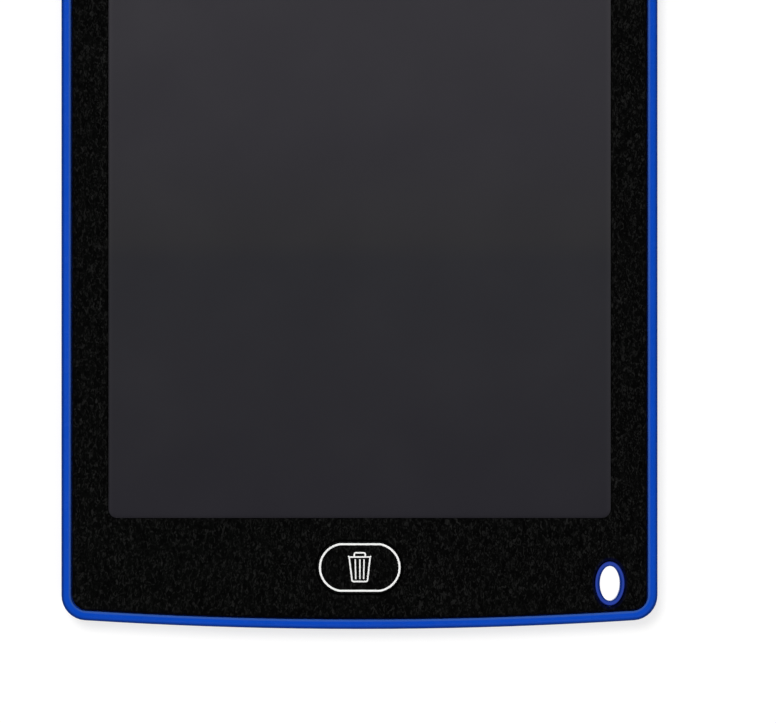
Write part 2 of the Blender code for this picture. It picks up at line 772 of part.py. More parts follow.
def recess_cutter():
    """Space for the front panel, down to the ledge that carries it."""
    outline = tablet_outline(RIM_WIDTH, RECESS_TOP)
    return plate("panel_recess", [outline], LEDGE_HIGH, THICKNESS + OVERRUN)


def rim_bevel_cutter():
    """A plate with a sloped lower edge, which takes the sharp corner off the rim's inner edge."""
    inset = RIM_WIDTH - RIM_INNER_BEVEL
    slope = 2 * RIM_INNER_BEVEL
    cutter = plate(
        "rim_bevel",
        [tablet_outline(inset, RECESS_TOP + RIM_INNER_BEVEL)],
        THICKNESS - slope,
        THICKNESS + slope,
    )
    round_loop(cutter, THICKNESS - slope, slope, 1)
    return cutter


def stylus_bay_cutter():
    """The open trough along the top edge, above the shelf that carries the stylus."""
    outline = rounded_rectangle(
        -BAY_HALF_LENGTH,
        BAY_WALL_Y,
        BAY_HALF_LENGTH,
        HALF_LENGTH + OVERRUN,
        BAY_CORNER_RADIUS,
    )
    return plate("stylus_bay", [outline], FLOOR_THICKNESS, THICKNESS + OVERRUN)


def jaw_places():
    """Middles of the two jaws that hold the stylus at its waists."""
    reach = BAY_HALF_LENGTH * JAW_PLACE_SHARE
    return [-reach, reach]


def add_jaws(shell):
    """Two short arms that reach over the waists of the stylus."""
    waist_radius = STYLUS_RADIUS - STYLUS_WAIST_DEPTH
    low = STYLUS_Z + waist_radius + LAYER_GAP
    front = STYLUS_Y + JAW_OVERREACH
    back = BAY_WALL_Y - RIM_WIDTH / 2
    for index, jaw_x in enumerate(jaw_places()):
        size = (JAW_WIDTH, front - back, JAW_THICKNESS)
        jaw = block(f"jaw_{index + 1}", size, low, (jaw_x, (front + back) / 2))
        join(shell, jaw)


def door_opening_outline():
    """The opening in the floor, one gap wider all round than the door."""
    return rounded_rectangle(
        DOOR_LEFT - GAP,
        DOOR_BOTTOM - GAP,
        DOOR_RIGHT + GAP,
        DOOR_TOP_Y + GAP,
        DOOR_CORNER_RADIUS + GAP,
    )


def door_frame_outline():
    """The wall that stands round the door opening."""
    return rounded_rectangle(
        DOOR_LEFT - SLOT_FRAME,
        DOOR_BOTTOM - SLOT_FRAME,
        DOOR_RIGHT + SLOT_FRAME,
        DOOR_TOP_Y + SLOT_FRAME,
        DOOR_CORNER_RADIUS + SLOT_FRAME,
    )


def add_cell_bay(shell):
    """The battery bay: frame wall, cup with its roof, and the door screw's boss.

    The door's opening ends just above the frame wall, so the panel's ledge stays whole over it.
    """
    frame = plate("bay_frame", [door_frame_outline()], FLOOR_THICKNESS / 2, RIB_HIGH)
    join(shell, frame)
    opening = plate("door_opening", [door_opening_outline()], -OVERRUN, RIB_HIGH + GAP)
    cut(shell, opening)
    roof_high = BAY_CEILING + BAY_ROOF_THICKNESS
    cup_profile = [
        (0, roof_high),
        (CUP_OUTER_RADIUS, roof_high),
        (CUP_OUTER_RADIUS, CELL_LOW),
        (0, CELL_LOW),
    ]
    join(shell, turned("cell_cup", cup_profile, ROUND_STEPS, (CELL_X, CELL_Y, 0)))
    add_bay_webs(shell)
    hollow_profile = [
        (0, BAY_CEILING),
        (CUP_RADIUS, BAY_CEILING),
        (CUP_RADIUS, -OVERRUN),
        (0, -OVERRUN),
    ]
    cut(shell, turned("cell_hollow", hollow_profile, ROUND_STEPS, (CELL_X, CELL_Y, 0)))
    cut_contact_windows(shell)
    cut_tab_notches(shell)


def add_bay_webs(shell):
    """Webs that carry the cup from the frame, and the boss of the door's screw."""
    boss_low = DOOR_PAD_HIGH + GAP
    web_low = boss_low + GAP
    web_high = BAY_CEILING - GAP
    left = CELL_X - CUP_OUTER_RADIUS + CUP_WALL / 2
    right = DOOR_RIGHT + GAP + RIB_THICKNESS / 2
    screw_web = block(
        "screw_web",
        (right - CELL_X, DOOR_BOSS_WEB, web_high - web_low),
        web_low,
        ((right + CELL_X) / 2, CELL_Y),
    )
    join(shell, screw_web)
    outer_left = DOOR_LEFT - GAP - RIB_THICKNESS / 2
    tab_web = block(
        "tab_web",
        (left - outer_left, DOOR_BOSS_WEB, web_high - web_low),
        web_low,
        ((left + outer_left) / 2, CELL_Y),
    )
    join(shell, tab_web)
    boss = turned(
        "door_boss",
        [
            (0, BAY_CEILING),
            (DOOR_BOSS_RADIUS, BAY_CEILING),
            (DOOR_BOSS_RADIUS, boss_low),
            (0, boss_low),
        ],
        SMALL_ROUND_STEPS,
        (DOOR_SCREW_X, CELL_Y, 0),
    )
    join(shell, boss)
    hole_radius = DOOR_SCREW_RADIUS + GAP
    hole_high = DOOR_SCREW_TIP + GAP
    hole = turned(
        "door_boss_hole",
        [(0, hole_high), (hole_radius, hole_high), (hole_radius, -OVERRUN), (0, -OVERRUN)],
        HOLE_STEPS,
        (DOOR_SCREW_X, CELL_Y, 0),
    )
    cut(shell, hole)


def contact_angles():
    """Turns of the two contacts about the cell: the negative one, then the positive one."""
    return [CONTACT_ANGLE, -CONTACT_ANGLE]


def cut_contact_windows(shell):
    """A window through the cup's wall for each contact."""
    inner = CELL_DIAMETER / 2 - CUP_WALL
    outer = CUP_OUTER_RADIUS + CUP_WALL
    size = (outer - inner, CONTACT_WIDTH + 2 * GAP, BAY_CEILING - CELL_LOW + OVERRUN)
    for index, angle in enumerate(contact_angles()):
        window = block(f"contact_window_{index + 1}", size, CELL_LOW - OVERRUN)
        window.data.transform(Matrix.Translation(((inner + outer) / 2, 0, 0)))
        window.location = (CELL_X, CELL_Y, 0)
        window.rotation_euler = (0, 0, math.radians(angle))
        cut(shell, window)


def tab_places():
    """Middles of the door's two tabs, above and below the cell's middle."""
    reach = DOOR_HALF_HEIGHT * DOOR_TAB_PLACE_SHARE
    return [-reach, reach]


def cut_tab_notches(shell):
    """Notches in the frame wall, where the door's tabs hook in over the floor."""
    size = (SLOT_FRAME + RIB_THICKNESS, DOOR_TAB_WIDTH + 2 * GAP, RIB_HIGH)
    for index, tab_y in enumerate(tab_places()):
        place = (DOOR_LEFT - SLOT_FRAME / 2, CELL_Y + tab_y)
        notch = block(f"tab_notch_{index + 1}", size, FLOOR_THICKNESS, place)
        cut(shell, notch)


def boss_places():
    """Middles of the two bosses that carry the board."""
    y = BOARD_BOTTOM + BOSS_INSET
    return [(BOARD_LEFT + BOSS_INSET, y), (BOARD_RIGHT - BOSS_INSET, y)]


def add_board_bosses(shell):
    """Round bosses with blind holes for the board's screws."""
    low = FLOOR_THICKNESS / 2
    high = BOSS_HIGH + OVERRUN
    floor = BOSS_HOLE_FLOOR
    boss_profile = [(0, BOSS_HIGH), (BOSS_RADIUS, BOSS_HIGH), (BOSS_RADIUS, low), (0, low)]
    hole_profile = [(0, high), (BOSS_HOLE_RADIUS, high), (BOSS_HOLE_RADIUS, floor), (0, floor)]
    for index, (x, y) in enumerate(boss_places()):
        boss = turned(f"board_boss_{index + 1}", boss_profile, SMALL_ROUND_STEPS, (x, y, 0))
        join(shell, boss)
    for index, (x, y) in enumerate(boss_places()):
        hole = turned(f"board_boss_hole_{index + 1}", hole_profile, HOLE_STEPS, (x, y, 0))
        cut(shell, hole)


def cut_lock_slot(shell):
    """A slot for the lock's knob in a shallow recess of the back face."""
    middle = (LOCK_X + LOCK_TRAVEL / 2, BOARD_MIDDLE_Y)
    length = LOCK_KNOB_LENGTH + LOCK_TRAVEL + 2 * GAP
    width = LOCK_KNOB_WIDTH + 2 * GAP
    slot_outline = centred_slot(length, width)
    slot = plate("lock_slot", [slot_outline], -OVERRUN, FLOOR_THICKNESS + OVERRUN, middle)
    cut(shell, slot)
    recess_outline = centred_slot(length + 2 * LOCK_RECESS_LAP, width + 2 * LOCK_RECESS_LAP)
    recess = plate("lock_recess", [recess_outline], -OVERRUN, LOCK_RECESS_DEPTH, middle)
    cut(shell, recess)


def centred_slot(length, width):
    """A slot with round ends, along X and centred on its own origin."""
    radius = width / 2
    middle = length / 2 - radius
    right = arc(middle, 0, radius, -90, 90, 2 * CORNER_STEPS)
    left = arc(-middle, 0, radius, 90, 270, 2 * CORNER_STEPS)
    return without_repeats(right + left)


def build_back_shell():
    """The blue tray: rim, ledge, ribs, battery bay, eyelet and stylus bay."""
    shell = shell_body()
    cut(shell, recess_cutter())
    cavity = plate(
        "shell_cavity",
        [tablet_outline(RIM_WIDTH + LEDGE_WIDTH, CAVITY_TOP)],
        FLOOR_THICKNESS,
        LEDGE_HIGH + OVERRUN,
    )
    cut(shell, cavity)
    add_ribs(shell)
    add_cell_bay(shell)
    add_board_bosses(shell)
    cut_lock_slot(shell)
    cut(shell, stylus_bay_cutter())
    add_jaws(shell)
    join(shell, eyelet_post("eyelet", 0, FLOOR_THICKNESS / 2, THICKNESS, EYELET_EDGE_ROUND))
    cut(shell, lanyard_cutter("lanyard_hole"))
    cut(shell, rim_bevel_cutter())
    finish(shell, "shell_blue")


def window_outline(margin):
    """The screen window's outline, grown by a margin."""
    return rounded_rectangle(
        -WINDOW_HALF_WIDTH - margin,
        WINDOW_BOTTOM - margin,
        WINDOW_HALF_WIDTH + margin,
        WINDOW_TOP + margin,
        WINDOW_CORNER_RADIUS + margin,
    )


def film_outline(margin):
    """The film's outline, grown by a margin."""
    return rounded_rectangle(
        -FILM_HALF_WIDTH - margin,
        FILM_BOTTOM - margin,
        FILM_HALF_WIDTH + margin,
        FILM_TOP + margin,
        FILM_CORNER_RADIUS + margin,
    )


def window_cutter():
    """The screen window, which flares where it leaves the panel's face."""
    straight_high = PANEL_HIGH - WINDOW_EDGE_BEVEL
    layers = [
        (window_outline(0), PANEL_LOW - OVERRUN),
        (window_outline(0), straight_high),
        (window_outline(OVERRUN), straight_high + OVERRUN),
    ]
    return stacked("window", layers)


def build_front_panel():
    """The black plate inside the rim, rebated from behind for the film."""
    outline = tablet_outline(RIM_WIDTH + GAP, RECESS_TOP - GAP)
    panel = plate("front_panel", [outline], PANEL_LOW, PANEL_HIGH)
    round_loop(panel, PANEL_HIGH, PANEL_EDGE_BEVEL, SMALL_EDGE_SEGMENTS)
    cut(panel, window_cutter())
    rebate = plate("film_rebate", [film_outline(GAP)], PANEL_LOW - OVERRUN, LIP_LOW)
    cut(panel, rebate)
    opening = pill(BUTTON_LENGTH + 2 * GAP, BUTTON_WIDTH + 2 * GAP, BUTTON_STRAIGHT)
    button_hole = plate(
        "button_opening",
        [opening],
        PANEL_LOW - OVERRUN,
        PANEL_HIGH + OVERRUN,
        (0, BUTTON_Y),
    )
    cut(panel, button_hole)
    passage = eyelet_post("eyelet_passage", GAP, PANEL_LOW - OVERRUN, PANEL_HIGH + OVERRUN, 0)
    cut(panel, passage)
    finish(panel, "panel_black")


def build_screen_layers():
    """The film, its tape, the stiff plate behind it and the tape under the panel."""
    film = plate("lcd_film", [film_outline(0)], FILM_LOW, FILM_HIGH)
    finish(film, "film_grey")
    film_tape = plate(
        "film_tape",
        [film_outline(-TAPE_INSET), window_outline(TAPE_INSET)],
        FILM_TAPE_LOW,
        FILM_TAPE_HIGH,
    )
    finish(film_tape, "tape_white")
    support = plate("support_plate", [film_outline(-TAPE_INSET)], SUPPORT_LOW, SUPPORT_HIGH)
    finish(support, "support_black")
    ledge_outer = tablet_outline(RIM_WIDTH + GAP + TAPE_INSET, RECESS_TOP - GAP - TAPE_INSET)
    inner_inset = RIM_WIDTH + LEDGE_WIDTH - TAPE_INSET
    ledge_inner = tablet_outline(inner_inset, CAVITY_TOP + TAPE_INSET)
    panel_tape = plate("panel_tape", [ledge_outer, ledge_inner], PANEL_TAPE_LOW, PANEL_TAPE_HIGH)
    finish(panel_tape, "tape_white")


def build_erase_button():
    """The pill-shaped button: a hollow cap with a flange and a middle post."""
    outline = pill(BUTTON_LENGTH, BUTTON_WIDTH, BUTTON_STRAIGHT)
    button = plate("erase_button", [outline], FLANGE_LOW, BUTTON_HIGH, (0, BUTTON_Y))
    round_loop(button, BUTTON_HIGH, BUTTON_EDGE_ROUND, SMALL_EDGE_SEGMENTS)
    wide = 2 * (BUTTON_FLANGE_WIDTH + GAP)
    flange_outline = pill(BUTTON_LENGTH + wide, BUTTON_WIDTH + wide, BUTTON_STRAIGHT)
    flange = plate("button_flange", [flange_outline], FLANGE_LOW, FLANGE_HIGH, (0, BUTTON_Y))
    join(button, flange)
    narrow = 2 * BUTTON_WALL
    inner = pill(BUTTON_LENGTH - narrow, BUTTON_WIDTH - narrow, BUTTON_STRAIGHT)
    post = circle(0, 0, BUTTON_POST_RADIUS, SMALL_ROUND_STEPS)
    pocket = plate(
        "button_pocket",
        [inner, post],
        FLANGE_LOW - OVERRUN,
        BUTTON_HIGH - BUTTON_WALL,
        (0, BUTTON_Y),
    )
    cut(button, pocket)
    finish(button, "button_black")
    plunger_profile = [(0, PLUNGER_HIGH)]
    plunger_profile += edge_round(PLUNGER_RADIUS, PLUNGER_HIGH, PLUNGER_EDGE_ROUND)
    plunger_profile += [(PLUNGER_RADIUS, PLUNGER_LOW), (0, PLUNGER_LOW)]
    plunger = turned("switch_plunger", plunger_profile, SMALL_ROUND_STEPS, (0, BUTTON_Y, 0))
    finish(plunger, "tape_white")
    carrier = joint_empty("erase_button_axis", (0, BUTTON_Y, 0))
    attach(button, carrier)
    attach(plunger, carrier)


def build_push_switch():
    """The low square housing of the push switch, with its round well."""
    side = SWITCH_SIDE / 2
    outline = rounded_rectangle(-side, -side, side, side, SWITCH_CORNER_CUT)
    housing = plate("switch_housing", [outline], SWITCH_LOW, SWITCH_HIGH, (0, BUTTON_Y))
    well_radius = PLUNGER_RADIUS + GAP
    floor = SWITCH_LOW + SWITCH_BASE
    high = SWITCH_HIGH + OVERRUN
    well = turned(
        "switch_well",
        [(0, high), (well_radius, high), (well_radius, floor), (0, floor)],
        SMALL_ROUND_STEPS,
        (0, BUTTON_Y, 0),
    )
    cut(housing, well)
    finish(housing, "part_grey")


def build_circuit_board():
    """The board, with screw holes and the slot of the lock's stem."""
    outline = rounded_rectangle(BOARD_LEFT, BOARD_BOTTOM, BOARD_RIGHT, BOARD_TOP, BOARD_CORNER_RADIUS)
    holes = [circle(x, y, BOARD_HOLE_RADIUS, SMALL_ROUND_STEPS) for x, y in boss_places()]
    slot_length = LOCK_STEM_LENGTH + LOCK_TRAVEL + 2 * GAP
    slot_width = LOCK_STEM_WIDTH + 2 * GAP
    slot = [
        (x + LOCK_X + LOCK_TRAVEL / 2, y + BOARD_MIDDLE_Y)
        for x, y in rounded_rectangle(
            -slot_length / 2,
            -slot_width / 2,
            slot_length / 2,
            slot_width / 2,
            GAP,
        )
    ]
    board = plate("circuit_board", [outline, *holes, slot], BOARD_LOW, BOARD_HIGH)
    finish(board, "board_green")


def cross_cutter(name, radius, low, place):
    """Two crossed bars for the recess in a screw's head."""
    reach = 2 * radius * CROSS_SLOT_SHARE
    first = block(f"{name}_a", (reach, CROSS_SLOT_WIDTH, OVERRUN), low, place)
    second = block(f"{name}_b", (CROSS_SLOT_WIDTH, reach, OVERRUN), low, place)
    return first, second


def build_board_screws():
    """Two pan-head screws that hold the board on its bosses."""
    head_low = BOARD_HIGH + LAYER_GAP
    head_high = head_low + BOARD_SCREW_HEAD_HEIGHT
    tip = BOSS_HOLE_FLOOR + GAP
    head = BOARD_SCREW_HEAD_RADIUS
    for index, (x, y) in enumerate(boss_places()):
        profile = [(0, head_high)]
        profile += edge_round(head, head_high, BOARD_SCREW_HEAD_HEIGHT / 2)
        profile += [(head, head_low), (BOARD_SCREW_RADIUS, head_low)]
        profile += [(BOARD_SCREW_RADIUS, tip + BOARD_SCREW_RADIUS / 2), (0, tip)]
        screw = turned(f"board_screw_{index + 1}", profile, SMALL_ROUND_STEPS, (x, y, 0))
        bars = cross_cutter(f"board_cross_{index + 1}", head, head_high - CROSS_SLOT_DEPTH, (x, y))
        for bar in bars:
            cut(screw, bar)
        finish(screw, "screw_steel")


def span_place(share):
    """A place along X between the push switch and the lock switch."""
    start = BUTTON_LENGTH / 2
    end = LOCK_X - LOCK_KNOB_LENGTH
    return start + share * (end - start)


def build_driver_chip():
    """The driver in its small-outline case, with four leads on each side."""
    x = span_place(CHIP_PLACE_SHARE)
    case_low = PARTS_LOW + LAYER_GAP
    size = (CHIP_WIDTH, CHIP_LENGTH, CHIP_HEIGHT)
    chip = block("driver_chip", size, case_low, (x, BOARD_MIDDLE_Y))
    bevel_edges(chip, CHIP_EDGE_BEVEL)
    half = CHIP_WIDTH / 2
    foot = PARTS_LOW + CHIP_LEAD_THICKNESS / 2
    shoulder = case_low + CHIP_HEIGHT / 2
    end = half + CHIP_LEAD_REACH
    toe = end - CHIP_LEAD_FOOT
    knee = half + CHIP_LEAD_THICKNESS
    line = [(-end, foot), (-toe, foot), (-knee, shoulder), (knee, shoulder), (toe, foot), (end, foot)]
    for index in range(CHIP_LEADS):
        lead = bent_strip(f"chip_lead_{index + 1}", line, CHIP_LEAD_THICKNESS, CHIP_LEAD_WIDTH)
        offset = (index - (CHIP_LEADS - 1) / 2) * CHIP_LEAD_PITCH
        lead.location = (x, BOARD_MIDDLE_Y + offset, 0)
        join(chip, lead)
    finish(chip, "part_black")


def build_inductor():
    """A shielded inductor above the driver: square, with the core showing on top."""
    side = INDUCTOR_SIDE / 2
    y = BOARD_MIDDLE_Y + CHIP_LENGTH / 2 + PART_SPACING + side
    place = (span_place(INDUCTOR_PLACE_SHARE), y)
    outline = rounded_rectangle(-side, -side, side, side, INDUCTOR_CORNER)
    inductor = plate("inductor", [outline], PARTS_LOW, PARTS_LOW + INDUCTOR_HEIGHT, place)
    top = PARTS_LOW + INDUCTOR_HEIGHT + INDUCTOR_CORE_RISE
    core = plate(
        "inductor_core",
        [circle(0, 0, INDUCTOR_CORE_RADIUS, SMALL_ROUND_STEPS)],
        PARTS_LOW + INDUCTOR_HEIGHT / 2,
        top,
        place,
    )
    join(inductor, core)
    finish(inductor, "part_grey")


def small_part(name, height, share, finish_name):
    """A chip capacitor or resistor, with slightly thicker metal ends."""
    place = (span_place(share), BOARD_BOTTOM + SMALL_PART_ROW_RISE)
    middle = SMALL_PART_WIDTH - 2 * TERMINAL_STEP
    size = (middle, SMALL_PART_LENGTH - TERMINAL_LENGTH, height)
    part = block(name, size, PARTS_LOW, place)
    reach = (SMALL_PART_LENGTH - TERMINAL_LENGTH) / 2
    end_size = (SMALL_PART_WIDTH, TERMINAL_LENGTH, height + 2 * TERMINAL_STEP)
    for index, offset in enumerate((-reach, reach)):
        end_place = (place[0], place[1] + offset)
        end = block(f"{name}_end_{index + 1}", end_size, PARTS_LOW - TERMINAL_STEP, end_place)
        join(part, end)
    finish(part, finish_name)


def build_small_parts():
    """A row of three capacitors and two resistors."""
    heights = {"capacitor": CAPACITOR_HEIGHT, "resistor": RESISTOR_HEIGHT}
    finishes = {"capacitor": "capacitor_tan", "resistor": "part_black"}
    kinds = ["capacitor", "resistor", "capacitor", "resistor", "capacitor"]
    counts = {"capacitor": 0, "resistor": 0}
    for kind, share in zip(kinds, SMALL_PART_SHARES):
        counts[kind] += 1
        small_part(f"{kind}_{counts[kind]}", heights[kind], share, finishes[kind])


def build_lock():
    """The erase lock: knob and flange, the stem above them, and the switch body."""
    flange_low = FLOOR_THICKNESS + LAYER_GAP
    flange_high = flange_low + LOCK_FLANGE_THICKNESS
    place = (LOCK_X, BOARD_MIDDLE_Y)
    knob_outline = centred_slot(LOCK_KNOB_LENGTH, LOCK_KNOB_WIDTH)
    slider = plate("lock_slider", [knob_outline], LOCK_KNOB_INSET, flange_high, place)
    length = LOCK_KNOB_LENGTH + 2 * LOCK_TRAVEL + 2 * LOCK_FLANGE_LAP
    width = LOCK_KNOB_WIDTH + 2 * LOCK_FLANGE_LAP
    flange = block("lock_flange", (length, width, LOCK_FLANGE_THICKNESS), flange_low, place)
    join(slider, flange)
    for index in range(LOCK_KNOB_GRIPS):
        offset = (index - (LOCK_KNOB_GRIPS - 1) / 2) * LOCK_KNOB_GRIP_PITCH
        size = (LOCK_KNOB_GRIP_WIDTH, LOCK_KNOB_WIDTH, LOCK_KNOB_GRIP_DEPTH + OVERRUN)
        groove_place = (LOCK_X + offset, BOARD_MIDDLE_Y)
        groove = block(f"lock_groove_{index + 1}", size, LOCK_KNOB_INSET - OVERRUN, groove_place)
        cut(slider, groove)
    finish(slider, "part_black")
    actuator = build_lock_actuator(flange_high + LAYER_GAP, place)
    build_lock_body()
    carrier = joint_empty("lock_axis", (*place, 0))
    attach(slider, carrier)
    attach(actuator, carrier)


def build_lock_actuator(low, place):
    """The stem that the slider moves, with a head inside the switch body."""
    head_low = BOARD_HIGH + 2 * LAYER_GAP
    stem_size = (LOCK_STEM_LENGTH, LOCK_STEM_WIDTH, head_low + LOCK_HEAD_THICKNESS - low)
    actuator = block("lock_actuator", stem_size, low, place)
    head_length = LOCK_STEM_LENGTH + 2 * LOCK_HEAD_LAP
    head_width = LOCK_STEM_WIDTH + 2 * LOCK_HEAD_LAP
    head = block("lock_head", (head_length, head_width, LOCK_HEAD_THICKNESS), head_low, place)
    join(actuator, head)
    finish(actuator, "part_black")
    return actuator


def build_lock_body():
    """The switch body on the board, hollow below for the stem's head."""
    place = (LOCK_X + LOCK_TRAVEL / 2, BOARD_MIDDLE_Y)
    inner_length = LOCK_STEM_LENGTH + 2 * LOCK_HEAD_LAP + LOCK_TRAVEL + 2 * GAP
    inner_width = LOCK_STEM_WIDTH + 2 * LOCK_HEAD_LAP + 2 * GAP
    wall = 2 * LOCK_BODY_WALL
    size = (inner_length + wall, inner_width + wall, LOCK_BODY_HEIGHT)
    body = block("lock_switch_body", size, PARTS_LOW, place)
    hollow_size = (inner_length, inner_width, LOCK_BODY_HEIGHT - LOCK_BODY_WALL + OVERRUN)
    hollow = block("lock_hollow", hollow_size, PARTS_LOW - OVERRUN, place)
    cut(body, hollow)
    finish(body, "contact_nickel")


def build_coin_cell():
    """The coin cell: a stepped steel case with its smaller cap towards the front."""
    radius = CELL_DIAMETER / 2
    cap_radius = radius - CELL_CAP_STEP
    rim_high = CELL_HIGH - CELL_CAP_DROP
    profile = [(0, CELL_HIGH)]
    profile += edge_round(cap_radius, CELL_HIGH, CELL_EDGE_ROUND)
    profile += [(cap_radius, rim_high)]
    profile += edge_round(radius, rim_high, CELL_EDGE_ROUND)
    profile += edge_round(radius, CELL_LOW, CELL_EDGE_ROUND, upper=False)
    profile += [(0, CELL_LOW)]
    cell = turned("coin_cell", profile, ROUND_STEPS, (CELL_X, CELL_Y, 0))
    finish(cell, "cell_steel")


def contact_end():
    """Distance of the contacts' soldering ends from the cell's axis."""
    return CUP_OUTER_RADIUS + CONTACT_REACH


def build_contacts():
    """Two bent strips: one presses on the cell's cap, the other on its side."""
    half = CONTACT_THICKNESS / 2
    level = BAY_CEILING - LAYER_GAP - half
    touch = CELL_HIGH + LAYER_GAP + half
    start = CUP_RADIUS * FINGER_START_SHARE
    toe = CUP_RADIUS * FINGER_TOE_SHARE
    negative_line = [
        (contact_end(), level),
        (start, level),
        (toe, touch),
        (toe - CONTACT_TOE, level),
    ]
    side = CELL_DIAMETER / 2 + LAYER_GAP + half
    positive_line = [
        (contact_end(), level),
        (CUP_RADIUS + CUP_WALL / 2, level),
        (side, CELL_HIGH - CELL_CAP_DROP),
        (side, CELL_LOW + CELL_EDGE_ROUND),
    ]
    lines = {"cell_contact_negative": negative_line, "cell_contact_positive": positive_line}
    for (name, line), angle in zip(lines.items(), contact_angles()):
        contact = bent_strip(name, line, CONTACT_THICKNESS, CONTACT_WIDTH)
        contact.location = (CELL_X, CELL_Y, 0)
        contact.rotation_euler = (0, 0, math.radians(angle))
        finish(contact, "contact_nickel")


def lead_route(angle):
    """A smooth route from a contact's end to the board, level and then down."""
    turn = math.radians(angle)
    start_radius = contact_end() + GAP
    start_x = CELL_X + start_radius * math.cos(turn)
    start_y = CELL_Y + start_radius * math.sin(turn)
    start_z = BAY_CEILING - LAYER_GAP - CONTACT_THICKNESS / 2
    end_x = BOARD_LEFT + LEAD_LANDING
    end_y = CELL_Y + (start_y - CELL_Y) / 2
    end_z = PARTS_LOW + LEAD_RADIUS
    wall_x = BOARD_LEFT - BAY_TO_BOARD
    points = []
    for index in range(LEAD_POINTS + 1):
        along = index / LEAD_POINTS
        sideways = (1 - math.cos(math.pi * along)) / 2
        x = start_x + (end_x - start_x) * along
        fall = max(0, (x - wall_x) / (end_x - wall_x))
        down = (1 - math.cos(math.pi * fall)) / 2
        y = start_y + (end_y - start_y) * sideways
        points.append((x, y, start_z + (end_z - start_z) * down))
    return points


def build_leads():
    """The two insulated wires from the contacts to the board."""
    names = ["battery_lead_negative", "battery_lead_positive"]
    finishes = ["lead_black", "lead_red"]
    for name, finish_name, angle in zip(names, finishes, contact_angles()):
        finish(wire(name, lead_route(angle), LEAD_RADIUS), finish_name)


def build_battery_door():
    """The door in the floor: plate, hooked tabs, and a pad round its captive screw."""
    outline = rounded_rectangle(
        0,
        -DOOR_HALF_HEIGHT,
        DOOR_RIGHT - DOOR_LEFT,
        DOOR_HALF_HEIGHT,
        DOOR_CORNER_RADIUS,
    )
    place = (DOOR_LEFT, CELL_Y)
    door = plate("battery_door", [outline], 0, FLOOR_THICKNESS, place)
    round_loop(door, 0, DOOR_EDGE_BEVEL, 1)
    add_door_tabs(door)
    screw_place = (DOOR_SCREW_X, CELL_Y, 0)
    pad_low = FLOOR_THICKNESS / 2
    pad_profile = [
        (0, DOOR_PAD_HIGH),
        (DOOR_PAD_RADIUS, DOOR_PAD_HIGH),
        (DOOR_PAD_RADIUS, pad_low),
        (0, pad_low),
    ]
    pad = turned("door_pad", pad_profile, ROUND_STEPS, screw_place)
    join(door, pad)
    sink_radius = DOOR_SCREW_HEAD_RADIUS + GAP
    sink_high = DOOR_SCREW_HEAD_INSET + DOOR_SCREW_HEAD_HEIGHT + LAYER_GAP
    hole_radius = DOOR_SCREW_RADIUS + LAYER_GAP
    hole = turned(
        "door_screw_hole",
        [
            (0, DOOR_PAD_HIGH + OVERRUN),
            (hole_radius, DOOR_PAD_HIGH + OVERRUN),
            (hole_radius, sink_high),
            (sink_radius, sink_high),
            (sink_radius, -OVERRUN),
            (0, -OVERRUN),
        ],
        ROUND_STEPS,
        screw_place,
    )
    cut(door, hole)
    finish(door, "shell_blue")
    screw = build_door_screw(screw_place)
    carrier = joint_empty("battery_door_axis", (*place, 0))
    attach(door, carrier)
    attach(screw, carrier)


def add_door_tabs(door):
    """Each tab rises through the opening and hooks in over the floor's edge."""
    for index, tab_y in enumerate(tab_places()):
        y = CELL_Y + tab_y
        neck_size = (DOOR_TAB_NECK, DOOR_TAB_WIDTH, TAB_HIGH - FLOOR_THICKNESS / 2)
        neck_place = (DOOR_LEFT + DOOR_TAB_NECK / 2, y)
        neck = block(f"tab_neck_{index + 1}", neck_size, FLOOR_THICKNESS / 2, neck_place)
        join(door, neck)
        hook_size = (DOOR_TAB_REACH + DOOR_TAB_NECK / 2, DOOR_TAB_WIDTH, DOOR_TAB_THICKNESS)
        hook_place = (DOOR_LEFT - DOOR_TAB_REACH / 2 + DOOR_TAB_NECK / 4, y)
        hook = block(f"tab_hook_{index + 1}", hook_size, TAB_LOW, hook_place)
        join(door, hook)


def build_door_screw(place):
    """A flat-headed screw with a cross recess in its outer face."""
    head_low = DOOR_SCREW_HEAD_INSET
    head_high = head_low + DOOR_SCREW_HEAD_HEIGHT
    profile = [(0, DOOR_SCREW_TIP), (DOOR_SCREW_RADIUS, DOOR_SCREW_TIP - DOOR_SCREW_RADIUS / 2)]
    profile += [(DOOR_SCREW_RADIUS, head_high), (DOOR_SCREW_HEAD_RADIUS, head_high)]
    profile += edge_round(DOOR_SCREW_HEAD_RADIUS, head_low, DOOR_SCREW_HEAD_INSET, upper=False)
    profile += [(0, head_low)]
    screw = turned("door_screw", profile, SMALL_ROUND_STEPS, place)
    low = head_low + CROSS_SLOT_DEPTH - OVERRUN
    bars = cross_cutter("door_cross", DOOR_SCREW_HEAD_RADIUS, low, place[:2])
    for bar in bars:
        cut(screw, bar)
    finish(screw, "screw_steel")
    return screw


